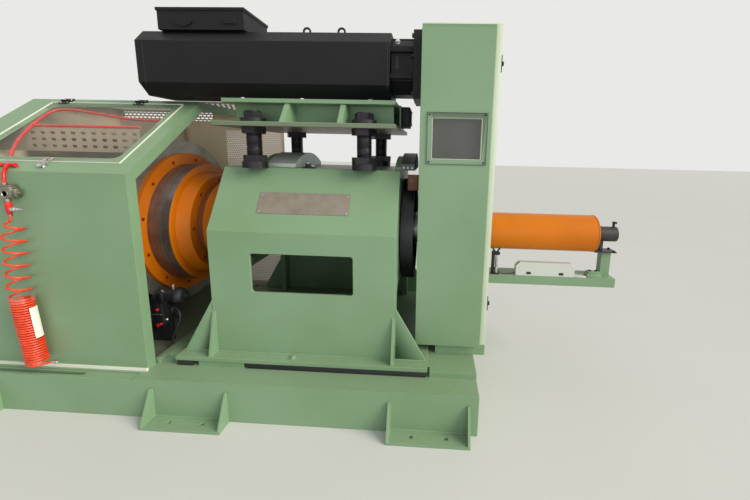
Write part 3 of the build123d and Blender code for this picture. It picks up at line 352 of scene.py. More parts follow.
def turnedSteel(name, look):
    # Steel turned in a lathe: fine rings along X and round the faces, bright streaks, a film of oil
    material, tree, shader, place = startMaterial(name)
    centred = addNode(tree, "ShaderNodeVectorMath", {"operation": "SUBTRACT"}, {1: (0, 0, axisZ)},
                      {0: place})
    split = addNode(tree, "ShaderNodeSeparateXYZ", links={0: centred.outputs[0]}).outputs
    flat = addNode(tree, "ShaderNodeCombineXYZ", links={"Y": split["Y"], "Z": split["Z"]})
    radius = addNode(tree, "ShaderNodeVectorMath", {"operation": "LENGTH"}, links={0: flat.outputs[0]})
    rings = addNode(tree, "ShaderNodeCombineXYZ", links={"X": split["X"], "Y": radius.outputs["Value"]})
    lines = grain(tree, rings.outputs[0], 4.35, 3, 0.7)  # groups of turning lines; a 0.3 mm feed is too fine
    stain = grain(tree, place, 143, 3)  # oil and handling stains
    fleck = grain(tree, place, 20.8, 3, 0.6)
    streak = addNode(tree, "ShaderNodeMapRange", values={"From Min": 0.3, "From Max": 0.7},
                     links={"Value": lines})
    oiled = addNode(tree, "ShaderNodeMapRange",
                    values={"From Min": 0.4, "From Max": 0.65, "To Max": look["stains"]},
                    links={"Value": stain})
    spotted = addNode(tree, "ShaderNodeMapRange",
                      values={"From Min": 0.6, "From Max": 0.75, "To Max": look["flecks"]},
                      links={"Value": fleck})
    colour = addNode(tree, "ShaderNodeMix", {"data_type": "RGBA"},
                     {6: linear(look["base"]), 7: linear(look["bright"])}, {0: streak.outputs[0]})
    colour = addNode(tree, "ShaderNodeMix", {"data_type": "RGBA"}, {7: linear(look["stain"])},
                     {0: oiled.outputs[0], 6: colour.outputs[2]})
    colour = addNode(tree, "ShaderNodeMix", {"data_type": "RGBA"}, {7: linear(look["fleck"])},
                     {0: spotted.outputs[0], 6: colour.outputs[2]})
    rough = addNode(tree, "ShaderNodeMapRange",
                    values={"From Min": 0.3, "From Max": 0.7, "To Min": look["rough"] - 0.08,
                            "To Max": look["rough"] + 0.12}, links={"Value": lines})
    grooves = addNode(tree, "ShaderNodeBump", values={"Strength": 0.25, "Distance": 0.0004},
                      links={"Height": lines})
    fillInputs(tree, shader, {"Metallic": look["metal"]},
               {"Base Color": colour.outputs[2], "Roughness": rough.outputs[0],
                "Normal": grooves.outputs[0]})
    return material


darkSteel = turnedSteel("oiledDarkSteel", {
    "base": "#6E6662", "bright": "#989390", "stain": "#554A43", "fleck": "#6B4A38",
    "rough": 0.30, "metal": 0.8, "stains": 0.55, "flecks": 0.3})
brakeSteel = turnedSteel("groundDiscSteel", {
    "base": "#8C8A82", "bright": "#A5A39B", "stain": "#78776D", "fleck": "#6F6A5E",
    "rough": 0.42, "metal": 0.8, "stains": 0.6, "flecks": 0.3})
turnedShaft = turnedSteel("turnedShaftSteel", {
    "base": "#9A9893", "bright": "#B9B7B1", "stain": "#84827C", "fleck": "#77736B",
    "rough": 0.3, "metal": 0.95, "stains": 0.4, "flecks": 0.2})
# Drive drum: turned steel kept near black
darkDrum = turnedSteel("nearBlackDrumSteel", {
    "base": "#242527", "bright": "#37393B", "stain": "#1C1C1E", "fleck": "#4A3836",
    "rough": 0.42, "metal": 0.6, "stains": 0.5, "flecks": 0.2})


def grainedFinish(name, look):
    # Blackened, galvanised, brushed or cast metal, and dark plastic: one fine grain all over
    material, tree, shader, place = startMaterial(name)
    fine = grain(tree, place, look["grain"], 4, 0.65, look.get("stretch", (1, 1, 1)))
    broad = grain(tree, place, 62.5, 3)
    toned = addNode(tree, "ShaderNodeMapRange", values={"From Min": 0.3, "From Max": 0.7},
                    links={"Value": fine})
    dirtied = addNode(tree, "ShaderNodeMapRange",
                      values={"From Min": 0.4, "From Max": 0.7, "To Max": 0.5}, links={"Value": broad})
    colour = addNode(tree, "ShaderNodeMix", {"data_type": "RGBA"},
                     {6: linear(look["base"]), 7: linear(look["bright"])}, {0: toned.outputs[0]})
    colour = addNode(tree, "ShaderNodeMix", {"data_type": "RGBA"}, {7: linear(look["stain"])},
                     {0: dirtied.outputs[0], 6: colour.outputs[2]})
    rough = addNode(tree, "ShaderNodeMapRange",
                    values={"From Min": 0.3, "From Max": 0.7, "To Min": look["rough"] - 0.07,
                            "To Max": look["rough"] + 0.1}, links={"Value": fine})
    relief = addNode(tree, "ShaderNodeBump", values={"Strength": look["bump"], "Distance": 0.0005},
                     links={"Height": fine})
    fillInputs(tree, shader, {"Metallic": look["metal"]},
               {"Base Color": colour.outputs[2], "Roughness": rough.outputs[0],
                "Normal": relief.outputs[0]})
    return material


blackOxide = grainedFinish("blackOxideSteel", {
    "base": "#1E1D20", "bright": "#35343A", "stain": "#3B332E", "grain": 6.25, "rough": 0.42,
    "bump": 0.2, "metal": 0.7})
galvanised = grainedFinish("galvanisedSheet", {
    "base": "#B4BCB4", "bright": "#C6CDC5", "stain": "#A3ACA4", "grain": 16.7, "rough": 0.42,
    "bump": 0.06, "metal": 0.3})
plateAluminium = grainedFinish("brushedPlateAluminium", {
    "base": "#887F72", "bright": "#9A9184", "stain": "#787063", "grain": 25, "rough": 0.36,
    "bump": 0.12, "metal": 0.55, "stretch": (1, 22, 22)})
greySheet = grainedFinish("phosphatedGreySheet", {
    "base": "#4E5152", "bright": "#5E6162", "stain": "#43423F", "grain": 14.3, "rough": 0.5,
    "bump": 0.08, "metal": 0.4})
valveMetal = grainedFinish("nickelledBrass", {
    "base": "#8E8B7C", "bright": "#ABA898", "stain": "#5F5B49", "grain": 9.09, "rough": 0.3,
    "bump": 0.08, "metal": 0.95})
zincPlate = grainedFinish("brightZincPlate", {
    "base": "#B9BAB8", "bright": "#D6D6D2", "stain": "#8E8D88", "grain": 8.33, "rough": 0.26,
    "bump": 0.08, "metal": 0.95})
caliperBlack = grainedFinish("blackLacquerCasting", {
    "base": "#1B1C20", "bright": "#2C2D33", "stain": "#33302E", "grain": 7.69, "rough": 0.4,
    "bump": 0.35, "metal": 0.2})
blackNylon = grainedFinish("machinedBlackNylon", {
    "base": "#1F1B1C", "bright": "#312B2B", "stain": "#3A3330", "grain": 5.56, "rough": 0.45,
    "bump": 0.15, "metal": 0.0})
boltRed = grainedFinish("rustTintedBolt", {
    "base": "#5A1A0E", "bright": "#7A2814", "stain": "#3A1410", "grain": 6.25, "rough": 0.45,
    "bump": 0.2, "metal": 0.4})
blackRubber = grainedFinish("blackRubber", {
    "base": "#17171A", "bright": "#232327", "stain": "#2C2A29", "grain": 4.55, "rough": 0.55,
    "bump": 0.2, "metal": 0.0})


def clearSheet(name, look):
    # Clear acrylic: sharp reflections, a slight haze and wiping smears
    material, tree, shader, place = startMaterial(name)
    smear = grain(tree, place, 71.4, 3, 0.6, (1, 0.4, 0.4))
    wave = grain(tree, place, 333, 1)
    wiped = addNode(tree, "ShaderNodeMapRange", values={"From Min": 0.4, "From Max": 0.7},
                    links={"Value": smear})
    colour = addNode(tree, "ShaderNodeMix", {"data_type": "RGBA"},
                     {6: linear(look["base"]), 7: linear(look["smear"])}, {0: wiped.outputs[0]})
    rough = addNode(tree, "ShaderNodeMapRange",
                    values={"From Min": 0.35, "From Max": 0.75, "To Min": look["rough"],
                            "To Max": look["rough"] + 0.07}, links={"Value": smear})
    bent = addNode(tree, "ShaderNodeBump", values={"Strength": 0.03, "Distance": 0.01},
                   links={"Height": wave})
    fillInputs(tree, shader, {"Alpha": look["cover"], "IOR": 1.49},
               {"Base Color": colour.outputs[2], "Roughness": rough.outputs[0],
                "Normal": bent.outputs[0]})
    return material


guardSheet = clearSheet("clearAcrylicSheet", {
    "base": "#D9DCD2", "smear": "#C8CCC0", "rough": 0.04, "cover": 0.05})


def hosePlastic(name, base, deep):
    # Extruded polyurethane: saturated and slightly see-through, with a wet-looking skin
    material, tree, shader, place = startMaterial(name)
    tone = grain(tree, place, 33.3, 2)
    pits = grain(tree, place, 3.33, 2)
    clouded = addNode(tree, "ShaderNodeMapRange", values={"From Min": 0.35, "From Max": 0.65},
                      links={"Value": tone})
    colour = addNode(tree, "ShaderNodeMix", {"data_type": "RGBA"}, {6: linear(base), 7: linear(deep)},
                     {0: clouded.outputs[0]})
    rough = addNode(tree, "ShaderNodeMapRange", values={"To Min": 0.22, "To Max": 0.34},
                    links={"Value": tone})
    skin = addNode(tree, "ShaderNodeBump", values={"Strength": 0.06, "Distance": 0.0003},
                   links={"Height": pits})
    fillInputs(tree, shader,
               {"Subsurface Weight": 0.15, "Subsurface Radius": (0.006, 0.002, 0.001),
                "Subsurface Scale": 1.0, "IOR": 1.5},
               {"Base Color": colour.outputs[2], "Roughness": rough.outputs[0], "Normal": skin.outputs[0]})
    return material


redPlastic = hosePlastic("redPolyurethane", "#D8241C", "#BC1812")
orangePlastic = hosePlastic("orangePolyurethane", "#E24A28", "#CB3C1E")
for line, material in ((hoseCoil, orangePlastic), (valveLine, redPlastic), (windowLine, redPlastic),
                       (brakeLine, blackRubber), (sensorLine, blackRubber)):
    line.data.materials.append(material)
print("materials made")


def shadeByArea(made, angle=50):
    made.data.shade_smooth()
    made.data.set_sharp_from_angle(angle=radians(angle))
    weighted = made.modifiers.new("weighted", "WEIGHTED_NORMAL")
    weighted.keep_sharp, weighted.weight = True, 60
    flatten(made)


def flatten(made):
    bpy.context.view_layer.update()
    depsgraph = bpy.context.evaluated_depsgraph_get()
    mesh = bpy.data.meshes.new_from_object(made.evaluated_get(depsgraph))
    made.modifiers.clear()
    made.data = mesh


def addPiece(name, mesh, material, body, replaced=()):
    made = bpy.data.objects.new(name, mesh)
    scene.collection.objects.link(made)
    mesh.materials.clear()
    mesh.materials.append(material)
    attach(made, body)
    if replaced:
        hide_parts(*replaced)
    return made


weldDistance = 2e-5  # points nearer than this, in metres, are one


def closeShape(bm, name, clean=True):
    if clean:
        bmesh.ops.remove_doubles(bm, verts=bm.verts, dist=weldDistance)
        bmesh.ops.recalc_face_normals(bm, faces=bm.faces)
    mesh = bpy.data.meshes.new(name)
    bm.to_mesh(mesh)
    bm.free()
    return mesh


def bevelSharp(bm, width, steps=2, angle=25):
    sharp = [e for e in bm.edges if len(e.link_faces) == 2 and e.calc_face_angle(0) > radians(angle)]
    bmesh.ops.bevel(bm, geom=sharp, offset=width, segments=steps, profile=0.5, affect="EDGES",
                    clamp_overlap=False)


# Steelwork: the CAD plates with their edges broken, as ground before painting
edgeBreak = {"plate": 0.0025, "sheet": 0.0012, "casting": 0.004}
steelwork = {
    "bed_long_beams": (greenPaint, "green_paint", "plate"),
    "bed_cross_beams": (greenPaint, "green_paint", "plate"),
    "bed_top_plate": (bedPaint, "green_paint", "sheet"),
    "bed_feet": (greenPaint, "green_paint", "sheet"),
    "headstock_sole": (greenPaint, "green_paint", "plate"),
    "headstock_front_panel": (greenPaint, "green_paint", "plate"),
    "headstock_rear_panel": (greenPaint, "green_paint", "plate"),
    "headstock_top_plate": (greenPaint, "green_paint", "plate"),
    "headstock_left_plate": (greenPaint, "green_paint", "plate"),
    "headstock_right_plate": (greenPaint, "green_paint", "plate"),
    "headstock_gussets": (greenPaint, "green_paint", "sheet"),
    "headstock_hood": (galvanised, "galvanised_steel", "plate"),
    "platform_lower_plate": (platePaint, "green_paint", "plate"),
    "platform_ribs": (greenPaint, "green_paint", "sheet"),
    "platform_upper_plate": (greenPaint, "green_paint", "plate"),
    "belt_guard_casing": (greenPaint, "green_paint", "sheet"),
    "belt_guard_door": (greenPaint, "green_paint", "plate"),
    "outlet_arm": (greenPaint, "green_paint", "plate"),
    "guard_front_panel": (greenPaint, "green_paint", "sheet"),
    "guard_left_end": (endPaint, "green_paint", "sheet"),
    "guard_end_flanges": (greenPaint, "green_paint", "sheet"),
    "guard_sill": (whiteTrim, "white_trim", "sheet"),
    "guard_screen": (beigePaint, "beige_paint", None),
    "guide_block": (blockPaint, "white_trim", "plate"),
    "motor_body": (motorEnamel, "motor_enamel", "casting"),
    "motor_flange": (motorEnamel, "motor_enamel", "casting"),
    "motor_terminal_box": (motorEnamel, "motor_enamel", "sheet"),
    "brake_caliper": (caliperBlack, "caliper_casting", "casting"),
    "brake_bracket": (caliperBlack, "caliper_casting", "plate"),
}


def breakEdges(node, material, slotName, kind):
    bm = bmesh.new()
    bm.from_mesh(nodes[node].data)
    bmesh.ops.remove_doubles(bm, verts=bm.verts, dist=weldDistance)
    bmesh.ops.dissolve_limit(bm, angle_limit=radians(0.5), verts=bm.verts, edges=bm.edges)
    if kind:
        bevelSharp(bm, edgeBreak[kind])
    made = addPiece(node + "_painted", closeShape(bm, node, clean=False), material, "stand")
    shadeByArea(made)
    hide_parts(node)


for node, work in steelwork.items():
    breakEdges(node, *work)
print("steelwork finished:", len(steelwork))

asCut = {
    "headstock_nameplate": plateAluminium, "bearing_housings": greenPaint, "jack_studs": blackOxide,
    "motor_lifting_eyes": blackOxide, "belt_guard_window": guardSheet, "guard_window": guardSheet,
    "wire_guide": blackNylon, "shaft_hood": greySheet, "rotor_tube": greenPaint,
    "rotor_coupling_flange": rotorShadedOrange, "brake_disc": brakeSteel, "drive_drum": darkDrum,
    "main_shaft": turnedShaft, "output_tube": orangePaint, "rotor_flange": rotorShadedOrange,
    "support_ring": darkSteel, "rotor_neck": rotorShadedOrange, "rotor_recess": brownPrimer,
    "rotor_hub": rotorShadedOrange,
}
for node, material in asCut.items():
    nodes[node].data.materials.clear()
    nodes[node].data.materials.append(material)
print("other nodes dressed:", len(asCut))


def turned(bm, base, along, profile, steps=20):
    # A round or many-sided piece: (distance, radius) pairs turned about the line from base
    axis = Vector(along).normalized()
    across = axis.orthogonal().normalized()
    other = axis.cross(across)
    rings = []
    for distance, radius in profile:
        centre = Vector(base) + axis * distance
        if radius < 1e-6:
            rings.append([bm.verts.new(centre)])
            continue
        angles = [2 * pi * step / steps for step in range(steps)]
        rings.append([bm.verts.new(centre + (across * cos(a) + other * sin(a)) * radius) for a in angles])
    for low, high in zip(rings, rings[1:]):
        for step in range(steps):
            after = (step + 1) % steps
            corners = (low[step % len(low)], low[after % len(low)],
                       high[after % len(high)], high[step % len(high)])
            kept = list(dict.fromkeys(corners))
            if len(kept) > 2:
                bm.faces.new(kept)


def rod(bm, start, end, radius, chamfer=0.0008, steps=16):
    run = Vector(end) - Vector(start)
    turned(bm, start, run, [(0, 0), (0, radius - chamfer), (chamfer, radius), (run.length - chamfer, radius),
                            (run.length, radius - chamfer), (run.length, 0)], steps)


def bar(bm, low, high, chamfer=0.0015, turn=None):
    part = bmesh.new()
    bmesh.ops.create_cube(part, size=1.0)
    for vert in part.verts:
        vert.co = [a + (c + 0.5) * (b - a) for a, b, c in zip(low, high, vert.co)]
    bmesh.ops.bevel(part, geom=part.edges[:], offset=chamfer, segments=2, profile=0.5, affect="EDGES")
    if turn is not None:
        bmesh.ops.transform(part, matrix=turn, verts=part.verts)
    mesh = bpy.data.meshes.new("part")
    part.to_mesh(mesh)
    part.free()
    bm.from_mesh(mesh)
    bpy.data.meshes.remove(mesh)


def finish(name, bm, material, body="stand", angle=40, replaced=()):
    made = addPiece(name, closeShape(bm, name), material, body, replaced)
    made.data.shade_smooth()
    made.data.set_sharp_from_angle(angle=radians(angle))
    return made


def faceFrame(origin, upward):
    # Places a piece on a face: X along the machine, Y up the face, Z out of it
    along, up = Vector((1, 0, 0)), Vector(upward).normalized()
    return Matrix.Translation(origin) @ Matrix((along, up, along.cross(up))).transposed().to_4x4()


def outOf(face):
    return face.to_3x3() @ Vector((0, 0, 1))


onSlope = faceFrame((0, -0.677, 1.388), (0, 0.666, 0.458))  # the guard's sloping front, from its fold
onHead = faceFrame((-0.008, -0.4346, 1.2179), (0, 0.228, 0.361))  # the headstock's slope, at the nameplate
onDoor = faceFrame((0, -0.433, 0), (0, 0, 1))  # the belt guard's door


# Geometry Nodes trees for what repeats or follows a line
def startTree(name, sockets):
    tree = bpy.data.node_groups.new(name, "GeometryNodeTree")
    tree.interface.new_socket("Geometry", in_out="INPUT", socket_type="NodeSocketGeometry")
    for label, kind in sockets.items():
        tree.interface.new_socket(label, in_out="INPUT", socket_type="NodeSocket" + kind)
    tree.interface.new_socket("Geometry", in_out="OUTPUT", socket_type="NodeSocketGeometry")
    return tree, addNode(tree, "NodeGroupInput").outputs


def endTree(tree, given, geometry):
    real = addNode(tree, "GeometryNodeRealizeInstances", links={0: geometry})
    dressed = addNode(tree, "GeometryNodeSetMaterial",
                      links={0: real.outputs[0], "Material": given["Finish"]})
    addNode(tree, "NodeGroupOutput", links={0: dressed.outputs[0]})
    return tree


def fastenerTree():
    tree, given = startTree("setFasteners", {"Fastener": "Object", "Axis": "Vector", "Spin": "Float",
                                             "Seed": "Int", "Finish": "Material"})
    info = addNode(tree, "GeometryNodeObjectInfo", links={0: given["Fastener"]})
    lined = addNode(tree, "FunctionNodeAlignRotationToVector", {"axis": "Z"}, links={"Vector": given["Axis"]})
    spin = addNode(tree, "FunctionNodeRandomValue", links={3: given["Spin"], "Seed": given["Seed"]})
    about = addNode(tree, "ShaderNodeCombineXYZ", links={"Z": spin.outputs[1]})
    turnedBy = addNode(tree, "FunctionNodeRotateRotation", {"rotation_space": "LOCAL"},
                       links={0: lined.outputs[0], 1: about.outputs[0]})
    placed = addNode(tree, "GeometryNodeInstanceOnPoints",
                     links={"Points": given["Geometry"], "Instance": info.outputs["Geometry"],
                            "Rotation": turnedBy.outputs[0]})
    return endTree(tree, given, placed.outputs[0])


def perforatedTree():
    # One cell is a rectangle round a rounded hole, filled between; every second row is shifted
    tree, given = startTree("perforatedSheet", {"Pitch X": "Float", "Pitch Y": "Float", "Columns": "Int",
                                                "Rows": "Int", "Hole Length": "Float", "Hole Width": "Float",
                                                "Corner": "Float", "Shift": "Float", "Thickness": "Float",
                                                "Finish": "Material"})
    cell = addNode(tree, "GeometryNodeCurvePrimitiveQuadrilateral",
                   links={"Width": given["Pitch X"], "Height": given["Pitch Y"]})
    hole = addNode(tree, "GeometryNodeCurvePrimitiveQuadrilateral",
                   links={"Width": given["Hole Length"], "Height": given["Hole Width"]})
    rounded = addNode(tree, "GeometryNodeFilletCurve", {"mode": "POLY"},
                      {"Count": 2}, {"Curve": hole.outputs[0], "Radius": given["Corner"]})
    outlines = addNode(tree, "GeometryNodeJoinGeometry", links={0: cell.outputs[0]})
    tree.links.new(rounded.outputs[0], outlines.inputs[0])
    filled = addNode(tree, "GeometryNodeFillCurve", {"mode": "TRIANGLES"}, links={0: outlines.outputs[0]})
    across = addNode(tree, "ShaderNodeMath", {"operation": "MULTIPLY"},
                     links={0: given["Pitch X"], 1: given["Columns"]})
    upward = addNode(tree, "ShaderNodeMath", {"operation": "MULTIPLY"},
                     links={0: given["Pitch Y"], 1: given["Rows"]})
    wide = addNode(tree, "ShaderNodeMath", {"operation": "SUBTRACT"},
                   links={0: across.outputs[0], 1: given["Pitch X"]})
    tall = addNode(tree, "ShaderNodeMath", {"operation": "SUBTRACT"},
                   links={0: upward.outputs[0], 1: given["Pitch Y"]})
    field = addNode(tree, "GeometryNodeMeshGrid",
                    links={"Size X": wide.outputs[0], "Size Y": tall.outputs[0],
                           "Vertices X": given["Columns"], "Vertices Y": given["Rows"]})
    position = addNode(tree, "GeometryNodeInputPosition")
    where = addNode(tree, "ShaderNodeSeparateXYZ", links={0: position.outputs[0]})
    row = addNode(tree, "ShaderNodeMath", {"operation": "DIVIDE"},
                  links={0: where.outputs["Y"], 1: given["Pitch Y"]})
    # Rows are counted from far below the field, so that none has a negative number
    halfRow = addNode(tree, "ShaderNodeMath", {"operation": "ADD"}, {1: 1000.25}, {0: row.outputs[0]})
    whole = addNode(tree, "ShaderNodeMath", {"operation": "FLOOR"}, links={0: halfRow.outputs[0]})
    odd = addNode(tree, "ShaderNodeMath", {"operation": "MODULO"}, {1: 2.0}, {0: whole.outputs[0]})
    shift = addNode(tree, "ShaderNodeMath", {"operation": "MULTIPLY"},
                    links={0: odd.outputs[0], 1: given["Shift"]})
    aside = addNode(tree, "ShaderNodeCombineXYZ", links={"X": shift.outputs[0]})
    moved = addNode(tree, "GeometryNodeSetPosition",
                    links={"Geometry": field.outputs[0], "Offset": aside.outputs[0]})
    placed = addNode(tree, "GeometryNodeInstanceOnPoints",
                     links={"Points": moved.outputs[0], "Instance": filled.outputs[0]})
    real = addNode(tree, "GeometryNodeRealizeInstances", links={0: placed.outputs[0]})
    merged = addNode(tree, "GeometryNodeMergeByDistance", values={"Distance": weldDistance},
                     links={0: real.outputs[0]})
    up = addNode(tree, "ShaderNodeCombineXYZ", values={"Z": 1.0})
    raised = addNode(tree, "GeometryNodeExtrudeMesh", {"mode": "FACES"}, {"Individual": False},
                     {"Mesh": merged.outputs[0], "Offset": up.outputs[0], "Offset Scale": given["Thickness"]})
    under = addNode(tree, "GeometryNodeFlipFaces", links={0: merged.outputs[0]})
    skins = addNode(tree, "GeometryNodeJoinGeometry", links={0: raised.outputs[0]})
    tree.links.new(under.outputs[0], skins.inputs[0])
    closed = addNode(tree, "GeometryNodeMergeByDistance", values={"Distance": weldDistance},
                     links={0: skins.outputs[0]})
    return endTree(tree, given, closed.outputs[0])


def beadTree():
    # A weld bead: a rounded strand along the given lines, its width rippling as the welder's hand did
    tree, given = startTree("weldBead", {"Radius": "Float", "Ripple": "Float", "Step": "Float",
                                         "Seed": "Int", "Finish": "Material"})
    lines = addNode(tree, "GeometryNodeMeshToCurve", links={0: given["Geometry"]})
    even = addNode(tree, "GeometryNodeResampleCurve", {"mode": "LENGTH"},
                   links={0: lines.outputs[0], "Length": given["Step"]})
    least = addNode(tree, "ShaderNodeMath", {"operation": "SUBTRACT"}, {0: 1.0}, {1: given["Ripple"]})
    wave = addNode(tree, "FunctionNodeRandomValue", values={3: 1.0},
                   links={2: least.outputs[0], "Seed": given["Seed"]})
    swelled = addNode(tree, "GeometryNodeSetCurveRadius",
                      links={0: even.outputs[0], "Radius": wave.outputs[1]})
    section = addNode(tree, "GeometryNodeCurvePrimitiveCircle", {"mode": "RADIUS"}, {"Resolution": 7},
                      {"Radius": given["Radius"]})
    # Curve to Mesh scales the section by the curve's radius at each point
    strand = addNode(tree, "GeometryNodeCurveToMesh", values={"Fill Caps": True},
                     links={"Curve": swelled.outputs[0], "Profile Curve": section.outputs[0]})
    return endTree(tree, given, strand.outputs[0])


def threadTree():
    # A screw thread: one helical ridge on a bare stud, set at each of the given points
    tree, given = startTree("screwThread", {"Radius": "Float", "Pitch": "Float", "Height": "Float",
                                            "Ridge": "Float", "Finish": "Material"})
    turns = addNode(tree, "ShaderNodeMath", {"operation": "DIVIDE"},
                    links={0: given["Height"], 1: given["Pitch"]})
    helix = addNode(tree, "GeometryNodeCurveSpiral", values={"Resolution": 20},
                    links={"Rotations": turns.outputs[0], "Start Radius": given["Radius"],
                           "End Radius": given["Radius"], "Height": given["Height"]})
    section = addNode(tree, "GeometryNodeCurvePrimitiveCircle", {"mode": "RADIUS"}, {"Resolution": 4},
                      {"Radius": given["Ridge"]})
    ridge = addNode(tree, "GeometryNodeCurveToMesh", values={"Fill Caps": True},
                    links={"Curve": helix.outputs[0], "Profile Curve": section.outputs[0]})
    placed = addNode(tree, "GeometryNodeInstanceOnPoints",
                     links={"Points": given["Geometry"], "Instance": ridge.outputs[0]})
    return endTree(tree, given, placed.outputs[0])


setFasteners = fastenerTree()
perforatedSheet = perforatedTree()
weldBead = beadTree()
screwThread = threadTree()


def grow(name, tree, points, settings, material, body, edges=(), place=None, angle=40):
    # Runs a tree on some points or lines and keeps the plain mesh that it gives
    mesh = bpy.data.meshes.new(name)
    mesh.from_pydata([tuple(point) for point in points], edges, [])
    made = bpy.data.objects.new(name, mesh)
    scene.collection.objects.link(made)
    modifier = made.modifiers.new("pattern", "NODES")
    modifier.node_group = tree
    settings = {**settings, "Finish": material}
    for item in tree.interface.items_tree:
        if item.in_out == "INPUT" and item.name in settings:
            modifier[item.identifier] = settings[item.name]
    flatten(made)
    if place is not None:
        made.data.transform(place)
    made.data.shade_smooth()
    made.data.set_sharp_from_angle(angle=radians(angle))
    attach(made, body)


def fastener(look):
    # Washer and head standing on the face, Z outwards; six sides for a hexagon, more for a dome
    bm = bmesh.new()
    head, high = look["head"]
    washer, base = look.get("washer", (0, 0))
    if washer:
        turned(bm, (0, 0, 0), (0, 0, 1),
               [(0, 0), (0, washer), (base * 0.8, washer), (base, washer * 0.94), (base, 0)], 16)
    if look["sides"] == 6:
        profile = [(0, 0), (0, head), (high * 0.84, head), (high, head * 0.86), (high, 0)]
    else:
        profile = [(0, 0), (0, head), (high * 0.45, head * 0.93), (high * 0.85, head * 0.6),
                   (high, head * 0.34), (high * 0.6, head * 0.3), (high * 0.6, 0)]
    turned(bm, (0, 0, base), (0, 0, 1), profile, look["sides"])
    made = bpy.data.objects.new("fastener", closeShape(bm, "fastener"))
    scene.collection.objects.link(made)
    return made


def fasten(name, look, points, axis, material, body="stand"):
    source = fastener(look)
    grow(name, setFasteners, points, {"Fastener": source, "Axis": axis, "Spin": 1.0, "Seed": 7},
         material, body)
    bpy.data.objects.remove(source)


# Fasteners: radius and height of the head and of the washer
coverScrew = {"head": (0.0075, 0.0035), "sides": 10}
sheetScrew = {"head": (0.0085, 0.0035), "sides": 10}
paneScrew = {"head": (0.0055, 0.0025), "sides": 10}
endPlug = {"head": (0.0090, 0.0025), "sides": 10}
plateRivet = {"head": (0.0052, 0.0024), "sides": 12}
flangeBolt = {"head": (0.0095, 0.0075), "sides": 6}
neckBolt = {"head": (0.0090, 0.0070), "sides": 6}
clampBolt = {"head": (0.0100, 0.0070), "sides": 6}
endBolt = {"head": (0.0090, 0.0060), "sides": 6}
motorBolt = {"head": (0.0140, 0.0110), "sides": 6}
plateBolt = {"head": (0.0140, 0.0110), "washer": (0.0180, 0.0030), "sides": 6}
guideBolt = {"head": (0.0090, 0.0070), "washer": (0.0120, 0.0020), "sides": 6}
print("trees built")


# Rotor: ring on the band's end face, raised rims of the outlet tube, and two rings of bolts, each
# with its count, radius, X and first angle
rotorLook = {"flangeBolts": (12, 0.447, -1.015, 78), "neckBolts": (8, 0.303, -0.794, 133),
             "bandFace": -0.875, "bandRadius": 0.414, "bandBore": 0.3645, "ringThickness": 0.005,
             "tubeRadius": 0.1275, "rims": ((1.118, 0.010), (1.873, 0.009)), "rimHeight": 0.0018}


def circlePoints(count, radius, x, start):
    angles = [radians(start + 360 * number / count) for number in range(count)]
    return [(x, radius * cos(a), axisZ + radius * sin(a)) for a in angles]


def makeRotorDetail(look):
    bm = bmesh.new()
    bore, outer, thick = look["bandBore"], look["bandRadius"], look["ringThickness"]
    turned(bm, (look["bandFace"], 0, axisZ), (1, 0, 0),
           [(-0.0004, bore), (-0.0004, outer - 0.0015), (thick - 0.002, outer - 0.0015),
            (thick, outer - 0.004), (thick, bore), (-0.0004, bore)], 128)
    finish("band_end_ring", bm, rotorShadedOrange, "rotor")
    bm = bmesh.new()
    low, high = look["tubeRadius"] - 0.001, look["tubeRadius"] + look["rimHeight"]
    for start, width in look["rims"]:
        turned(bm, (start, 0, axisZ), (1, 0, 0),
               [(0, low), (0.0008, high), (width - 0.0015, high), (width, low), (0, low)], 96)
    finish("outlet_tube_rims", bm, orangePaint, "rotor")
    fasten("rotor_flange_bolts", flangeBolt, circlePoints(*look["flangeBolts"]), (1, 0, 0), boltRed,
           "rotor")
    fasten("rotor_neck_bolts", neckBolt, circlePoints(*look["neckBolts"]), (1, 0, 0), boltRed,
           "rotor")


makeRotorDetail(rotorLook)
print("rotor detailed")


def bridgeRings(bm, rings):
    # Joins four-cornered rings into one closed frame
    for ring, following in zip(rings, rings[1:] + rings[:1]):
        for step in range(4):
            after = (step + 1) % 4
            bm.faces.new((ring[step], ring[after], following[after], following[step]))


def makePieces(looks):
    # Small fittings made of chamfered blocks, turned rounds and rods, all measured from "at"
    for name, look in looks.items():
        bm = bmesh.new()
        at = Vector(look.get("at", (0, 0, 0)))
        for low, high, chamfer in look.get("blocks", ()):
            bar(bm, at + Vector(low), at + Vector(high), chamfer)
        for base, along, profile, sides in look.get("rounds", ()):
            turned(bm, at + Vector(base), along, profile, sides)
        for start, end, radius, chamfer, sides in look.get("rods", ()):
            rod(bm, at + Vector(start), at + Vector(end), radius, chamfer, sides)
        finish(name, bm, look["finish"], angle=look.get("angle", 40),
               replaced=look.get("replaces", ()))


# Guard: perforated roof and rear wall in plain borders, with a folded stiffener on the rear wall
guardLength = (-2.093, -0.583)
rearFaces = (0.671, 0.677)
roofLook = {"x": guardLength, "y": (-0.011, 0.677), "z": (1.840, 1.846), "liningAt": 1.8424,
            "field": (-1.990, -0.640, 0.045, 0.625), "pitch": (0.038, 0.036), "hole": (0.027, 0.024),
            "corner": 0.006, "sheet": 0.0012}
rearLook = {"x": guardLength, "y": rearFaces, "z": (0.240, 1.715), "liningAt": 0.675,
            "field": (-1.110, -0.604, 0.290, 1.680), "pitch": (0.0170, 0.0165), "hole": (0.0080, 0.0080),
            "corner": 0.0036, "sheet": 0.0020}
slotLook = {"x": guardLength, "y": rearFaces, "z": (1.715, 1.840), "liningAt": 0.675,
            "field": (-2.040, -1.220, 1.762, 1.832), "pitch": (0.0380, 0.0235), "hole": (0.0290, 0.0125),
            "corner": 0.005, "sheet": 0.0020}
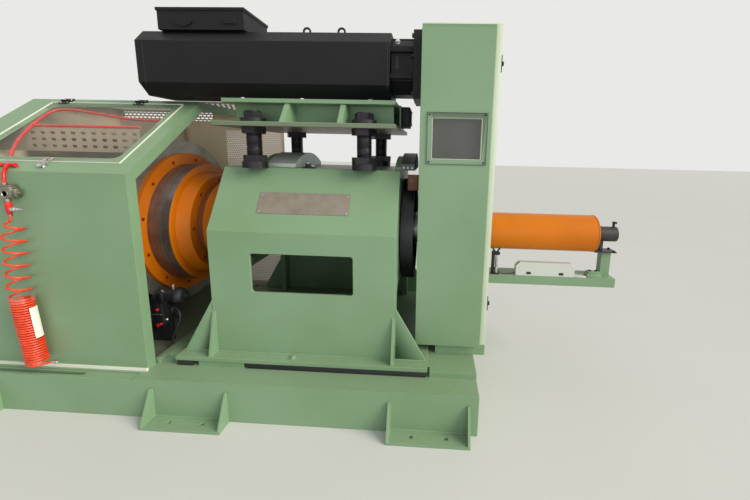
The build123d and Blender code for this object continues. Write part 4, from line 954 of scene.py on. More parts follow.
guardSheets = (("guard_roof", roofLook, "xyz", roofPaint, "green_paint", ("guard_roof",)),
               ("guard_rear", rearLook, "xzy", rearPaint, "beige_paint", ("guard_rear_wall",)),
               ("guard_rear_top", slotLook, "xzy", rearPaint, "beige_paint", ()))


def framedSheet(name, look, axes, material, replaced):
    # A plate with a rectangular opening: four mitred strips with shared corners
    bm = bmesh.new()
    (a0, a1), (b0, b1), (near, far) = (look[axis] for axis in axes)
    c0, c1, d0, d1 = look["field"]
    outer = [(a0, b0), (a1, b0), (a1, b1), (a0, b1)]
    inner = [(c0, d0), (c1, d0), (c1, d1), (c0, d1)]

    def spot(pair, level):
        place = dict(zip(axes, (*pair, level)))
        return bm.verts.new([place[axis] for axis in "xyz"])

    bridgeRings(bm, [[spot(pair, level) for pair in loop] for loop, level in
                     ((outer, near), (outer, far), (inner, far), (inner, near))])
    finish(name, bm, material, replaced=replaced)


def perforate(name, look, axes, material):
    # The perforated lining of the opening, its odd rows and its even ones a quarter pitch off the middle
    c0, c1, d0, d1 = look["field"]
    across, upward = look["pitch"]
    length, width = look["hole"]
    settings = {"Pitch X": across, "Pitch Y": upward, "Columns": round((c1 - c0) / across) + 1,
                "Rows": round((d1 - d0) / upward) + 1, "Hole Length": length, "Hole Width": width,
                "Corner": look["corner"], "Shift": across / 2, "Thickness": look["sheet"]}
    middle = dict(zip(axes, ((c0 + c1) / 2 - across / 4, (d0 + d1) / 2, look["liningAt"])))
    place = Matrix.Translation([middle[axis] for axis in "xyz"])
    if axes == "xzy":
        place = place @ Matrix.Rotation(pi / 2, 4, "X")
    grow(name, perforatedSheet, [(0, 0, 0)], settings, material, "stand", place=place)


for name, look, axes, material, slotName, replaced in guardSheets:
    framedSheet(name + "_border", look, axes, material, replaced)
    perforate(name + "_lining", look, axes, material)
makePieces({"rear_wall_rib": {"finish": beigePaint, "slot": "beige_paint",
                              "blocks": [((-1.485, 0.654, 0.260), (-1.447, 0.6708, 1.705), 0.003)]}})
print("perforated sheets made")


# Guard window: its edge seal, two hinges and a toggle latch
windowLook = {"pane": (-1.905, -0.965, 0.087, 0.757), "thickness": 0.006, "sealProud": 0.0012,
              "sealWidth": 0.003, "sealRise": 0.0008}
hingeLook = {"x": (-1.813, -1.277), "y": 0.772, "half": 0.036, "leaf": 0.003, "edge": 0.0008,
             "onPane": (-0.034, -0.006), "onFrame": (0.006, 0.030), "knuckles": 5, "knucklePitch": 0.0146,
             "knuckleLength": 0.0138, "knuckleRadius": 0.0062, "pinRise": 0.005, "pinRadius": 0.0035,
             "pinOver": 0.004, "screwX": (-0.024, 0.024), "screwY": (-0.021, 0.018),
             "screw": [(0, 0), (0, 0.0052), (0.0018, 0.0040), (0.0024, 0.0018), (0.0012, 0.0015),
                       (0.0012, 0)]}
latchLook = {
    "at": (-1.379, 0.080, 0),
    "blocks": [((-0.022, -0.048, 0.0002), (0.022, -0.002, 0.0035), 0.0008),  # base plate
               ((-0.016, -0.044, 0.0035), (-0.011, -0.012, 0.016), 0.0008),  # its two cheeks
               ((0.011, -0.044, 0.0035), (0.016, -0.012, 0.016), 0.0008),
               ((-0.010, -0.052, 0.010), (0.010, -0.004, 0.0145), 0.0015),  # lever
               ((-0.020, 0.013, 0.006), (0.020, 0.036, 0.009), 0.0008),  # plate on the pane
               ((-0.014, 0.018, 0.009), (0.014, 0.023, 0.020), 0.0010)],  # hook
    "rods": [((-0.019, -0.028, 0.012), (-0.017, 0.026, 0.013), 0.0018, 0.0004, 8),  # wire bail
             ((0.019, -0.028, 0.012), (0.017, 0.026, 0.013), 0.0018, 0.0004, 8),
             ((-0.018, 0.026, 0.013), (0.018, 0.026, 0.013), 0.0018, 0.0004, 8),
             ((-0.021, -0.028, 0.012), (0.021, -0.028, 0.012), 0.0028, 0.0005, 10)]}  # pivot


def edgeStrip(bm, pane, proud, width, low, high, face):
    # A thin raised strip round a pane's edge
    x0, x1, y0, y1 = pane
    rings = []
    for inset, level in ((-proud, low), (-proud, high), (width - proud, high), (width - proud, low)):
        corners = ((x0 + inset, y0 + inset), (x1 - inset, y0 + inset),
                   (x1 - inset, y1 - inset), (x0 + inset, y1 - inset))
        rings.append([bm.verts.new(face @ Vector((x, y, level))) for x, y in corners])
    bridgeRings(bm, rings)


def makeSeal(look):
    bm = bmesh.new()
    edgeStrip(bm, look["pane"], look["sealProud"], look["sealWidth"], 0.0001,
              look["thickness"] + look["sealRise"], onSlope)
    finish("window_edge_seal", bm, whiteTrim)


def makeHinges(look, paneTop):
    leaves, pins = bmesh.new(), bmesh.new()
    half, y, top, edge = look["half"], look["y"], paneTop + look["leaf"], look["edge"]
    pinAt = paneTop + look["pinRise"]
    for x in look["x"]:
        for (first, last), low in ((look["onPane"], paneTop), (look["onFrame"], 0.0002)):
            bar(leaves, (x - half, y + first, low), (x + half, y + last, top), edge, onSlope)
        for number in range(look["knuckles"]):
            start = onSlope @ Vector((x - half + look["knucklePitch"] * number, y, pinAt))
            rod(leaves, start, start + Vector((look["knuckleLength"], 0, 0)), look["knuckleRadius"],
                0.0006, 12)
        start = onSlope @ Vector((x - half - look["pinOver"], y, pinAt))
        rod(pins, start, start + Vector((2 * (half + look["pinOver"]), 0, 0)), look["pinRadius"], 0.0008, 10)
        for dx in look["screwX"]:
            for dy in look["screwY"]:
                base = onSlope @ Vector((x + dx, y + dy, top - 0.0002))
                turned(pins, base, outOf(onSlope), look["screw"], 12)
    finish("window_hinges", leaves, blackOxide)
    finish("window_hinge_pins", pins, zincPlate)


def makeLatch(look):
    bm = bmesh.new()
    at = Vector(look["at"])
    for low, high, chamfer in look["blocks"]:
        bar(bm, at + Vector(low), at + Vector(high), chamfer, onSlope)
    for start, end, radius, chamfer, sides in look["rods"]:
        rod(bm, onSlope @ (at + Vector(start)), onSlope @ (at + Vector(end)), radius, chamfer, sides)
    finish("window_latch", bm, zincPlate)


makeSeal(windowLook)
makeHinges(hingeLook, windowLook["thickness"])
makeLatch(latchLook)


# Air valve with its flange, dial and fittings, the quick coupler, and the red pipe and tee
airPieces = {
    "screen_air_pipe": {
        "finish": redPlastic, "slot": "red_hose", "at": (-1.824, -0.283, 1.6495),
        "rods": [((0.029, 0, 0), (0.723, 0, 0), 0.0085, 0.001, 16)],
        "rounds": [((0, 0, 0), (1, 0, 0),
                    [(0, 0), (0, 0.0088), (0.014, 0.0093), (0.036, 0.0093), (0.040, 0)], 16)]},
    "air_valve_body": {
        "finish": valveMetal, "slot": "turned_steel", "replaces": ("air_valve",),
        "at": (-1.497, -0.732, 1.275),
        "blocks": [((-0.043, 0.004, -0.030), (0.018, 0.0545, 0.034), 0.003),  # body
                   ((-0.045, 0.010, 0.028), (0.010, 0.049, 0.043), 0.002),  # upper flange
                   ((0.014, 0.012, -0.026), (0.040, 0.044, 0.022), 0.004)],  # side block
        "rounds": [
            ((-0.014, 0.006, -0.004), (0, -1, 0),  # dial
             [(0, 0), (0, 0.021), (0.003, 0.021), (0.005, 0.019), (0.005, 0.015), (0.002, 0.0135),
              (0.002, 0)], 28),
            ((0.040, 0.032, -0.002), (1, 0, 0),  # plug
             [(0, 0), (0, 0.010), (0.003, 0.010), (0.003, 0.007), (0.006, 0.0065), (0.006, 0)], 16),
            ((-0.034, 0.027, 0.043), (0, 0, 1),  # outlet nut
             [(0, 0), (0, 0.012), (0.006, 0.012), (0.007, 0.0098), (0.012, 0.0098), (0.013, 0.0072),
              (0.013, 0)], 6),
            ((0.011, -0.007, -0.030), (0, 0, -1),  # inlet stem
             [(0, 0), (0, 0.016), (0.012, 0.016), (0.013, 0.0115), (0.030, 0.0115), (0.031, 0.014),
              (0.052, 0.014), (0.053, 0.0105), (0.082, 0.0105), (0.083, 0.0090), (0.092, 0.0090),
              (0.092, 0)], 20)]},
    "quick_coupler": {
        "finish": zincPlate, "slot": "turned_steel", "at": (-1.474, -0.742, 1.190),
        "rounds": [((0, 0, 0), (1, 0, 0.02),
                    [(0, 0), (0, 0.0085), (0.010, 0.0085), (0.011, 0.0125), (0.014, 0.0135),
                     (0.017, 0.0125), (0.020, 0.0135), (0.023, 0.0125), (0.026, 0.0135),
                     (0.030, 0.0125), (0.031, 0.0095), (0.044, 0.0095), (0.045, 0.0070),
                     (0.062, 0.0062), (0.070, 0.0045), (0.070, 0)], 20)]},
    "coupler_sleeve": {
        "finish": redPlastic, "slot": "red_hose", "angle": 60, "at": (-1.486, -0.739, 1.2305),
        "rounds": [((0, 0, 0), (0, 0, -1),
                    [(0, 0.0100), (0.001, 0.0152), (0.026, 0.0158), (0.040, 0.0152), (0.058, 0.0125),
                     (0.068, 0.0108), (0.070, 0.0080)], 20)]},
    "air_line_tee": {
        "finish": redPlastic, "slot": "red_hose", "at": (-1.630, -0.653, 1.421),
        "rounds": [((0, 0, 0), (1, 0, 0),
                    [(0, 0), (0, 0.008), (0.020, 0.008), (0.021, 0.0105), (0.034, 0.0105),
                     (0.035, 0.0085), (0.085, 0.0085), (0.086, 0.0105), (0.098, 0.0105), (0.099, 0.008),
                     (0.118, 0.008), (0.118, 0)], 16)]
        + [((x, -0.007, 0.006), -outOf(onSlope),  # the elbows that go down through the sheet
            [(0, 0), (0, 0.009), (0.004, 0.0105), (0.022, 0.0105), (0.024, 0.008), (0.034, 0.008),
             (0.034, 0)], 14) for x in (0.004, 0.112)]},
}
makePieces(airPieces)


# Pieces on the spiral hose: tape where the close turns start, a bare label and a plated end fitting
hoseTrim = {
    "outer": 0.0535, "middle": (-1.507, -0.739), "leanFrom": 0.79, "leanOver": 0.5, "leanBy": 0.036,
    "leanCurve": 1.2,
    "label": {"heights": (0.462, 0.640), "turn": (-20, 27), "steps": (16, 8), "off": 0, "thick": 0.0008},
    "tape": {"heights": (0.672, 0.708), "turn": (0, 330), "steps": (44, 3), "off": -0.0005,
             "thick": 0.0006},
    "fittingAt": (-1.3825, -0.739, 0.310),
    "fitting": [(0, 0), (0, 0.0085), (0.008, 0.0085), (0.009, 0.0100), (0.016, 0.0100), (0.017, 0.0070),
                (0.030, 0.0070), (0.031, 0.0055), (0.0375, 0.0050), (0.0375, 0)]}


def wrapRound(look, band):
    # A thin band that follows the leaning close turns
    bm = bmesh.new()
    (low, high), (first, last), (steps, rows) = band["heights"], band["turn"], band["steps"]
    reach = look["outer"] + band["off"]
    x, y = look["middle"]
    grid = []
    for row in range(rows + 1):
        height = low + (high - low) * row / rows
        share = min(max((look["leanFrom"] - height) / look["leanOver"], 0), 1)
        centre = x + look["leanBy"] * share ** look["leanCurve"]
        line = []
        for step in range(steps + 1):
            a = radians(first + (last - first) * step / steps)
            line.append([bm.verts.new((centre + out * cos(a), y + out * sin(a), height))
                         for out in (reach, reach + band["thick"])])
        grid.append(line)
    for below, above in zip(grid, grid[1:]):
        for step in range(steps):
            for side in (0, 1):
                bm.faces.new((below[step][side], below[step + 1][side],
                              above[step + 1][side], above[step][side]))
        for end in (0, steps):
            bm.faces.new((below[end][0], above[end][0], above[end][1], below[end][1]))
    for line in (grid[0], grid[-1]):
        for step in range(steps):
            bm.faces.new((line[step][0], line[step + 1][0], line[step + 1][1], line[step][1]))
    return bm


def makeHoseTrim(look):
    label = finish("hose_label", wrapRound(look, look["label"]), whiteTrim, angle=60)
    tape = finish("hose_tape", wrapRound(look, look["tape"]), guardSheet, angle=60)
    bm = bmesh.new()
    turned(bm, look["fittingAt"], (1, 0, 0), look["fitting"], 16)
    tip = finish("hose_fitting", bm, zincPlate)


makeHoseTrim(hoseTrim)
print("guard detailed")


# Headstock: rivets of the bare nameplate, oil fitting by the hood, plug of the sole, black strips as painted
# shade in the gap under the sole
plateLook = {"half": (0.262, 0.056), "thickness": 0.003}
headPieces = {
    "sole_plug": {
        "finish": greenPaint, "slot": "green_paint", "at": (-0.053, -0.570, 0.300),
        "rounds": [((0, 0, 0), (0, 0, 1),
                    [(0, 0), (0, 0.021), (0.003, 0.021), (0.004, 0.016), (0.010, 0.015), (0.013, 0.011),
                     (0.014, 0)], 24)]},
    # Black strips in the gap under the sole's front edge: painted shade of the gap
    "sole_packing_strips": {
        "finish": blackRubber, "slot": "black_nylon",
        "blocks": [((start, -0.6085, 0.2402), (end, -0.600, 0.2747), 0.002)
                   for start, end in ((-0.748, -0.652), (-0.322, 0.748))]},
    "oil_fitting_block": {
        "finish": blackOxide, "slot": "black_oxide_steel", "at": (-0.024, -0.277, 1.431),
        "blocks": [((-0.036, -0.015, -0.0109), (0.036, 0.015, 0), 0.0015),
                   ((-0.024, -0.009, 0), (0.010, 0.009, 0.018), 0.0025)]},
    "oil_fitting_nipples": {
        "finish": zincPlate, "slot": "turned_steel", "at": (-0.024, -0.277, 1.431),
        "rounds": [((x, 0, 0), (0, 0, 1),
                    [(0, 0), (0, 0.0065), (0.005, 0.0065), (0.006, 0.005), (0.006, 0)], 6)
                   for x in (-0.028, 0.026)]
        + [((-0.007, 0, 0.018), (0, 0, 1),
            [(0, 0), (0, 0.007), (0.004, 0.007), (0.005, 0.004), (0.010, 0.0045), (0.013, 0.003),
             (0.013, 0)], 12),
           ((0.010, 0, 0.009), (1, 0, 0),
            [(0, 0), (0, 0.005), (0.012, 0.005), (0.013, 0.0035), (0.030, 0.0035), (0.030, 0)], 10)]},
}
makePieces(headPieces)
across, upward = plateLook["half"]
plateCorners = [onHead @ Vector((x, y, plateLook["thickness"]))
                for x in (-across, across) for y in (-upward, upward)]
fasten("nameplate_rivets", plateRivet, plateCorners, outOf(onHead), zincPlate)


# Platform: screw threads on the bare shanks, hold-down bolts under the motor, switch box at the end
threadLook = {"studs": (0.337, 0.340), "from": 1.499, "height": 0.124, "pitch": 0.008, "radius": 0.0425,
              "ridge": 0.0032}
holdDownLook = {"x": (-0.430, -0.060, 0.360), "y": (-0.270, 0.270), "plateTop": 1.830}
platformPieces = {
    "platform_end_plate": {
        "finish": greenPaint, "slot": "green_paint",
        "blocks": [((0.5232, -0.112, 1.6901), (0.5329, 0.112, 1.8299), 0.0008)]},
    "platform_switch_box": {
        "finish": motorEnamel, "slot": "black_oxide_steel",
        "blocks": [((0.5330, -0.075, 1.6941), (0.588, 0.075, 1.8259), 0.003),
                   ((0.588, -0.060, 1.7101), (0.594, 0.060, 1.8099), 0.0015)]},
}
switchScrews = [(0.594, y, z) for y in (-0.050, 0.050) for z in (1.7201, 1.7999)]


def makeThreads(look):
    x, y = look["studs"]
    bases = [(a * x, b * y, look["from"]) for a in (-1, 1) for b in (-1, 1)]
    grow("jack_stud_threads", screwThread, bases,
         {"Radius": look["radius"], "Pitch": look["pitch"], "Height": look["height"],
          "Ridge": look["ridge"]}, blackOxide, "stand", angle=60)


makeThreads(threadLook)
makePieces(platformPieces)
boltPlaces = [(x, y, holdDownLook["plateTop"]) for x in holdDownLook["x"] for y in holdDownLook["y"]]
fasten("motor_hold_down_bolts", plateBolt, boltPlaces, (0, 0, 1), zincPlate)
fasten("switch_box_screws", coverScrew, switchScrews, (1, 0, 0), zincPlate)


# Motor: end bell bars, vent slot, cover seams, oil sight, cable glands and flange bolts
motorPieces = {
    "motor_bell_bars": {
        "finish": motorEnamel, "slot": "motor_enamel",
        "blocks": [((0.4705, near, low), (0.612, far, high), 0.003)
                   for near, far in ((-0.197985, -0.16335), (0.16335, 0.197985))
                   for low, high in ((2.138, 2.172), (1.982, 2.014))]
        + [((0.4705, -0.06, 2.2299), (0.612, 0.06, 2.252), 0.004)]},
    "motor_slots": {
        "finish": blackRubber, "slot": "black_nylon",
        "blocks": [((0.500, -0.1668, 2.046), (0.518, -0.1645, 2.130), 0.0006)]  # vent
        + [((low, -0.2017, 1.918), (high, -0.2004, 2.178), 0.0003)  # seams of the end covers
           for low, high in ((0.4525, 0.4560), (-1.1000, -1.0965))]},
    "motor_oil_sight": {
        "finish": zincPlate, "slot": "turned_steel",
        "rounds": [((0.513, -0.1650, 2.203), (0, -1, 0),
                    [(0, 0), (0, 0.016), (0.008, 0.016), (0.009, 0.013), (0.022, 0.013), (0.026, 0.009),
                     (0.026, 0)], 6)]},
    "motor_cable_glands": {
        "finish": blackNylon, "slot": "black_nylon",
        "rounds": [((x, 0.160, 2.320), (0, 1, 0),
                    [(0, 0), (0, 0.026), (0.008, 0.026), (0.009, 0.021), (0.022, 0.021), (0.026, 0.017),
                     (0.030, 0.012), (0.030, 0)], 18) for x in (-0.90, -0.74, -0.58)]},
}
motorFlange = {"x": 0.6119, "y": (-0.182, 0.182), "z": (1.895, 2.005, 2.120, 2.235)}
makePieces(motorPieces)
flangePlaces = [(motorFlange["x"], y, z) for y in motorFlange["y"] for z in motorFlange["z"]]
fasten("motor_flange_bolts", motorBolt, flangePlaces, (-1, 0, 0), blackOxide)


# Belt guard: black sheet behind the window as painted shade, seals and screws of the pane, door catches,
# pale painted highlights on the casing's edges, bracket in the gap
beltWindow = {"pane": (0.714, 1.050, 1.472, 1.758), "opening": (0.742, 1.022, 1.500, 1.730),
              "thickness": 0.006, "screwInset": 0.012, "sealProud": 0.0010, "sealWidth": 0.0014,
              "sealRise": 0.0003, "revealWidth": 0.0020, "revealDepth": 0.0325}
beltPieces = {
    # A black sheet behind the window: painted shade for the dark inside of the casing
    "belt_window_screen": {
        "finish": blackRubber, "slot": "black_nylon",
        "blocks": [((0.730, -0.3995, 1.488), (1.034, -0.3965, 1.742), 0.0008)]},
    "belt_door_catches": {
        "finish": blackOxide, "slot": "black_oxide_steel",
        "blocks": [block for z in (2.030, 0.620) for block in (
            ((1.1122, -0.396, z - 0.045), (1.118, -0.378, z + 0.045), 0.0015),
            ((1.118, -0.392, z - 0.012), (1.128, -0.382, z + 0.012), 0.002))]},
    # Pale strips on the casing's right and top edges: painted highlight where light from the right catches
    # them
    "casing_edge_strips": {
        "finish": edgeHighlightPaint, "slot": "pale_green_paint",
        "blocks": [((1.0768, -0.4012, 0.346), (1.1114, -0.4001, 2.2300), 0.0003),
                   ((0.6728, -0.4012, 2.2302), (1.1114, -0.4001, 2.2364), 0.0003)]},
    "belt_guard_bracket": {
        "finish": brownPrimer, "slot": "brown_primer",
        "blocks": [((0.598, -0.300, 1.300), (0.6718, -0.258, 1.396), 0.004),
                   ((0.606, -0.3035, 1.330), (0.640, -0.300, 1.382), 0.001)]},
}
hoodScrews = [(x, -0.2585, 1.436) for x in (0.570, 0.596, 0.622)]


def makeBeltWindow(look):
    bm = bmesh.new()
    edgeStrip(bm, look["pane"], look["sealProud"], look["sealWidth"], 0.0001,
              look["thickness"] + look["sealRise"], onDoor)
    finish("belt_window_seal", bm, blackRubber)
    bm = bmesh.new()
    edgeStrip(bm, look["opening"], 0, look["revealWidth"], -look["revealDepth"], 0, onDoor)
    finish("belt_window_reveal", bm, whiteTrim)
    x0, x1, z0, z1 = look["pane"]
    inset = look["screwInset"]
    corners = [onDoor @ Vector((x, z, look["thickness"]))
               for x in (x0 + inset, x1 - inset) for z in (z0 + inset, z1 - inset)]
    fasten("belt_window_screws", paneScrew, corners, (0, -1, 0), blackOxide)


makeBeltWindow(beltWindow)
makePieces(beltPieces)
fasten("shaft_hood_screws", coverScrew, hoodScrews, (0, -1, 0), zincPlate)


# Outlet arm: roller bracket and rod, the pale block's slots as painted shade, shim, clamp, end plugs and the
# guide's hook
outletPieces = {
    "roller_bracket": {
        "finish": blackOxide, "slot": "black_oxide_steel", "at": (1.216, -0.062, 0.700),
        "blocks": [((-0.034, -0.016, 0), (0.022, 0.022, 0.010), 0.002),
                   ((-0.034, -0.012, 0.010), (-0.014, 0.014, 0.165), 0.002),
                   ((-0.034, -0.014, 0.140), (0.020, 0.016, 0.160), 0.003)],
        "rods": [((-0.006 + side * 0.004, 0, 0.158), (-0.006 + side * 0.026, 0, 0.188), 0.0060, 0.001, 10)
                 for side in (-1, 1)]},
    "roller_rod": {
        "finish": zincPlate, "slot": "turned_steel", "at": (1.216, -0.062, 0.700),
        "rods": [((0, 0, 0.010), (0, 0, 0.142), 0.0090, 0.001, 16)],
        "rounds": [((0, 0, 0.030), (0, 0, 1),
                    [(0, 0), (0, 0.013), (0.010, 0.014), (0.018, 0.013), (0.018, 0)], 18)]},
    "outlet_shim": {
        "finish": blockPaint, "slot": "white_trim",
        "blocks": [((1.756, -0.079, 0.700), (1.838, -0.040, 0.711), 0.002)]},
    "outlet_clamp": {
        "finish": greenPaint, "slot": "green_paint",
        "blocks": [((1.842, -0.078, 0.700), (1.938, -0.018, 0.730), 0.002),
                   ((1.850, -0.070, 0.730), (1.930, -0.026, 0.742), 0.002)]},
    "guide_hook": {
        "finish": blackOxide, "slot": "black_oxide_steel",
        "blocks": [((2.0115, -0.012, 1.0740), (2.0375, 0.012, 1.0880), 0.003)],
        "rods": [((2.020, 0, 1.0300), (2.020, 0, 1.0760), 0.0085, 0.002, 12),
                 ((1.905, -0.030, 1.0300), (1.905, -0.046, 1.066), 0.0060, 0.001, 10)]},
}
slotsLook = {"x": (1.440, 1.663), "z": 0.720, "half": 0.008, "radius": 0.0095, "steps": 24,
             "front": -0.0808, "back": -0.0794}
clampPlaces = [(x, -0.048, 0.742) for x in (1.868, 1.912)]
plugPlaces = [(2.035, y, 0.668) for y in (-0.055, 0.055)]
guidePlaces = [(x, y, 0.883) for x in (1.908, 2.022) for y in (-0.038, 0.038)]


def makeBlockSlots(look):
    # Black oblongs on the pale block's face: painted shade for the openings of its screw slots
    bm = bmesh.new()
    for middle in look["x"]:
        outline = []
        for step in range(look["steps"]):
            a = 2 * pi * step / look["steps"]
            half = look["half"] if cos(a) > 0 else -look["half"]
            outline.append((middle + half + look["radius"] * cos(a), look["z"] + look["radius"] * sin(a)))
        for level, order in ((look["front"], 1), (look["back"], -1)):
            bm.faces.new([bm.verts.new((x, level, z)) for x, z in outline[::order]])
    finish("block_slots", bm, blackRubber)


makePieces(outletPieces)
makeBlockSlots(slotsLook)
fasten("outlet_clamp_bolts", clampBolt, clampPlaces, (0, 0, 1), blackOxide)
fasten("arm_end_plugs", endPlug, plugPlaces, (1, 0, 0), whiteTrim)
fasten("guide_plate_bolts", guideBolt, guidePlaces, (0, 0, 1), blackOxide)


# Brake: actuator with the air hose's union, guide pin, bleed fittings and red caps on the caliper
brakePieces = {
    "brake_actuator": {
        "finish": caliperBlack, "slot": "caliper_casting",
        "blocks": [((-1.031, -0.428, 0.548), (-0.975, -0.372, 0.585), 0.004),
                   ((-1.121, -0.4135, 0.395), (-1.062, -0.4095, 0.548), 0.0015),
                   ((-1.030, -0.4135, 0.395), (-0.974, -0.4095, 0.548), 0.0015)],
        "rounds": [
            ((-0.991, -0.392, 0.588), (1, 0, 0),  # diaphragm chamber
             [(0, 0), (0, 0.034), (0.022, 0.034), (0.024, 0.050), (0.044, 0.052), (0.048, 0.042),
              (0.110, 0.042), (0.114, 0.050), (0.140, 0.050), (0.150, 0.042), (0.164, 0.038),
              (0.166, 0.015), (0.186, 0.014), (0.187, 0.010), (0.196, 0.010), (0.196, 0)], 32),
            ((-0.973, -0.392, 0.512), (1, 0, 0),  # union of the air hose
             [(0, 0), (0, 0.018), (0.016, 0.018), (0.018, 0.014), (0.030, 0.014), (0.030, 0)], 6),
            ((-0.971, -0.335, 0.470), (1, 0, 0),  # piston cover
             [(0, 0), (0, 0.058), (0.010, 0.056), (0.014, 0.044), (0.034, 0.042), (0.040, 0.036),
              (0.042, 0)], 32),
            ((-1.086, -0.410, 0.470), (0, -1, 0),  # adjuster cap
             [(0, 0), (0, 0.034), (0.006, 0.033), (0.012, 0.022), (0.030, 0.021), (0.032, 0)], 24)]},
    "brake_fittings": {
        "finish": zincPlate, "slot": "turned_steel",
        "rods": [((-1.118, -0.416, 0.458), (-0.976, -0.416, 0.458), 0.004, 0.0008, 10)],
        "rounds": [((-0.971, y, z), (1, 0, 0),
                    [(0, 0), (0, 0.011), (0.009, 0.011), (0.011, 0.009), (0.011, 0)], 6)
                   for z in (0.410, 0.530) for y in (-0.385, -0.285)]
        + [((-0.900, -0.392, 0.628), (0, 0, 1),
            [(0, 0), (0, 0.010), (0.008, 0.010), (0.009, 0.006), (0.022, 0.006), (0.023, 0.009),
             (0.032, 0.009), (0.033, 0)], 6),
           ((-0.940, -0.422, 0.618), (0, -0.7, 0.7),
            [(0, 0), (0, 0.008), (0.014, 0.008), (0.015, 0.005), (0.024, 0.005), (0.024, 0)], 6)]},
    "brake_caps": {
        "finish": redPlastic, "slot": "red_hose",
        "rounds": [((x, -0.4130, z), (0, -1, 0),
                    [(0, 0), (0, radius), (0.010, radius), (0.013, radius * 0.7), (0.014, 0)], 16)
                   for x, z, radius in ((-1.002, 0.492, 0.009), (-1.006, 0.385, 0.012),
                                        (-0.984, 0.395, 0.008))]},
}
makePieces(brakePieces)


# Hidden sides, as such machines have them: cover on the casing's back, screws of the rear wall, grille
# and screws on the motor's far end
coverLook = {"x": (0.730, 1.054), "z": (0.430, 2.120), "face": 0.4001, "thickness": 0.0025,
             "pull": (0.055, 0.0035, 1.255, 1.285), "screwInset": 0.02, "screwRows": 7}
wallScrews = [(x, 0.6775, z) for x in (-2.070, -1.338, -0.960) for z in (0.280, 0.660, 1.040, 1.420, 1.800)]
grilleLook = {"centre": (-1.1481, 0, 2.048), "reach": (0.045, 0.150), "rings": 6, "spokes": 8,
              "ringHalf": 0.003, "ringThickness": 0.004, "spokeRadius": 0.0035, "screws": (0.155, 0.12)}


def makeBackCover(look):
    (x0, x1), (z0, z1), face = look["x"], look["z"], look["face"]
    top, middle = face + look["thickness"], (x0 + x1) / 2
    half, depth, low, high = look["pull"]
    bm = bmesh.new()
    bar(bm, (x0, face, z0), (x1, top, z1), 0.0008)
    bar(bm, (middle - half, top, low), (middle + half, top + depth, high), 0.001)
    finish("casing_back_cover", bm, greenPaint)
    inset, rows = look["screwInset"], look["screwRows"]
    heights = [z0 + inset + (z1 - z0 - 2 * inset) * row / (rows - 1) for row in range(rows)]
    screws = [(x, top, z) for x in (x0 + inset, x1 - inset) for z in heights]
    fasten("back_cover_screws", coverScrew, screws, (0, 1, 0), zincPlate)


def makeMotorEnd(look):
    inner, outer = look["reach"]
    half, thick = look["ringHalf"], look["ringThickness"]
    centre = Vector(look["centre"])
    bm = bmesh.new()
    for number in range(look["rings"]):
        radius = inner + (outer - inner) * number / (look["rings"] - 1)
        turned(bm, centre, (-1, 0, 0), [(0, radius - half), (thick, radius - half), (thick, radius + half),
                                        (0, radius + half), (0, radius - half)], 48)
    for number in range(look["spokes"]):
        turn = 2 * pi * number / look["spokes"]
        away = Vector((0, cos(turn), sin(turn)))
        rod(bm, centre + away * inner, centre + away * outer, look["spokeRadius"], 0.0006, 8)
    finish("motor_end_grille", bm, blackOxide)
    across, upward = look["screws"]
    corners = [centre + Vector((0, y, z)) for y in (-across, across) for z in (-upward, upward)]
    fasten("motor_end_screws", endBolt, corners, (-1, 0, 0), blackOxide)


makeBackCover(coverLook)
fasten("rear_wall_screws", sheetScrew, wallScrews, (0, 1, 0), zincPlate)
makeMotorEnd(grilleLook)
print("machine details made")


# Weld beads, about 8 mm wide: sole, gussets, feet, platform webs and the outlet arm's ends
weldLook = {"radius": 0.0042, "ripple": 0.35, "step": 0.006,
            "soleFace": 0.535, "soleTop": 0.301, "soleEnds": 0.744, "gussets": (0.5375, 0.5545),
            "gussetTop": 0.565, "gussetEnd": 0.604, "feet": (0.770, -0.585, -1.940), "bedFace": 0.7545,
            "footHalf": 0.222, "footTop": 0.016, "footRibs": 0.2105, "footRibTop": 0.184,
            "footRibEnd": 0.846,
            "webFace": 0.2358, "webHalf": 0.498, "webs": (1.6912, 1.8048)}
armWelds = [[(1.1125, -0.078, 0.637), (1.1125, -0.0805, 0.698)],
            [(1.943, -0.0325, 0.7008), (2.013, -0.0325, 0.7008)]]


def weldLines(look):
    lines = []
    top, ends, web = look["soleTop"], look["soleEnds"], look["webHalf"]
    for side in (-1, 1):
        face = side * (look["soleFace"] + 0.001)
        lines.append([(-ends, face, top), (ends, face, top)])
        face = side * (look["soleFace"] + 0.0005)
        for x in [end * gusset for end in (-1, 1) for gusset in look["gussets"]]:
            lines.append([(x, face, look["gussetTop"]), (x, face, top + 0.001),
                          (x, side * look["gussetEnd"], top)])
        wall = side * look["bedFace"]
        for centre in look["feet"]:
            half, rib, foot = look["footHalf"], look["footRibs"], look["footTop"]
            lines.append([(centre - half, wall, foot), (centre + half, wall, foot)])
            for x in (centre - rib, centre + rib):
                lines.append([(x, wall, look["footRibTop"]), (x, wall, foot + 0.001),
                              (x, side * look["footRibEnd"], foot - 0.0005)])
        for z in look["webs"]:
            lines.append([(-web, side * look["webFace"], z), (web, side * look["webFace"], z)])
    return lines + armWelds


def makeWelds(look):
    points, edges = [], []
    for line in weldLines(look):
        edges += [(len(points) + number, len(points) + number + 1) for number in range(len(line) - 1)]
        points += line
    grow("weld_beads", weldBead, points,
         {"Radius": look["radius"], "Ripple": look["ripple"], "Step": look["step"], "Seed": 3}, greenPaint,
         "stand", edges=edges, angle=60)


makeWelds(weldLook)
print("welds laid")


# Stage: a pale floor, a soft roof light and a pale surround
stage = {"floor": "#D2D1CD", "floorShade": "#CCCBC7", "floorHalf": 40, "surround": "#E9E9E7",
         "sky": "#E6ECEE", "ambient": 0.50, "roofWatts": 40, "frontWatts": 60, "sun": 3.5, "sunAngle": 38}


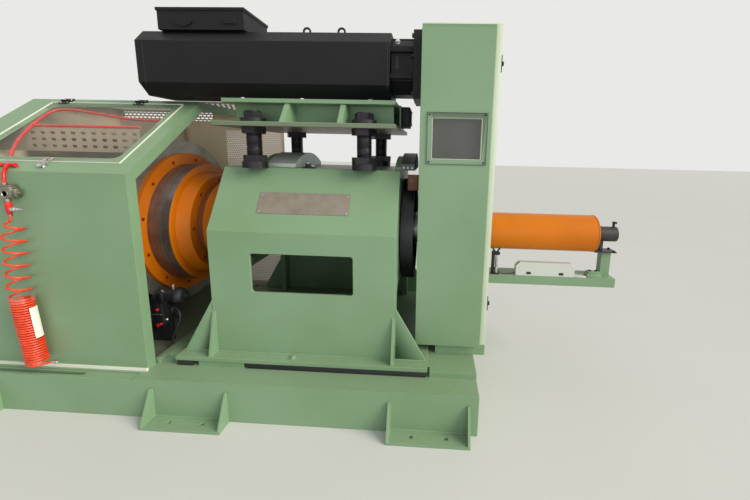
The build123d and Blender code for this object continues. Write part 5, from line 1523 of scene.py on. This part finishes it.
def makeStage(look):
    bm = bmesh.new()
    bmesh.ops.create_grid(bm, x_segments=1, y_segments=1, size=look["floorHalf"])
    floor = bpy.data.objects.new("floor", closeShape(bm, "floor", clean=False))
    scene.collection.objects.link(floor)
    material, tree, shader, place = startMaterial("paleFloor")
    cloud = grain(tree, place, 1250, 2)
    tone = addNode(tree, "ShaderNodeMix", {"data_type": "RGBA"},
                   {6: linear(look["floor"]), 7: linear(look["floorShade"])}, {0: cloud})
    fillInputs(tree, shader, {"Roughness": 0.55}, {"Base Color": tone.outputs[2]})
    floor.data.materials.append(material)
    world = bpy.data.worlds.new("softSurround")
    scene.world = world
    world.use_nodes = True
    tree = world.node_tree
    tree.nodes.clear()
    rays = addNode(tree, "ShaderNodeLightPath").outputs
    mirrored = addNode(tree, "ShaderNodeMath", {"operation": "MAXIMUM"},
                       links={0: rays["Is Glossy Ray"], 1: rays["Is Transmission Ray"]})
    seen = addNode(tree, "ShaderNodeMath", {"operation": "MAXIMUM"},
                   links={0: rays["Is Camera Ray"], 1: mirrored.outputs[0]})
    dim = addNode(tree, "ShaderNodeBackground",
                  values={"Color": linear(look["sky"]), "Strength": look["ambient"]})
    pale = addNode(tree, "ShaderNodeBackground",
                   values={"Color": linear(look["surround"]), "Strength": 1.0})
    mixed = addNode(tree, "ShaderNodeMixShader",
                    links={0: seen.outputs[0], 1: dim.outputs[0], 2: pale.outputs[0]})
    addNode(tree, "ShaderNodeOutputWorld", links={0: mixed.outputs[0]})


def addLamp(name, place, aim, size, strength, colour, kind="AREA"):
    data = bpy.data.lights.new(name, kind)
    if kind == "AREA":
        data.shape, data.size, data.size_y = "RECTANGLE", size[0], size[1]
    else:
        data.angle = radians(size)
    data.energy, data.color = strength, linear(colour)[:3]
    lamp = bpy.data.objects.new(name, data)
    lamp.location = place
    lamp.rotation_euler = (Vector(aim) - Vector(place)).to_track_quat("-Z", "Y").to_euler()
    scene.collection.objects.link(lamp)


makeStage(stage)
addLamp("roofLight", (0.4, -0.6, 6.0), (0, 0, 0), (7, 5), stage["roofWatts"], "#FFFBF2")
addLamp("frontLight", (1.2, -5.5, 1.5), (0, 0, 0.7), (5, 3), stage["frontWatts"], "#F4F8FF")
addLamp("windowLight", (8, -3.2, 4.6), (0, 0, 0), stage["sunAngle"], stage["sun"], "#FFFAF0", "SUN")
print("stage lit")
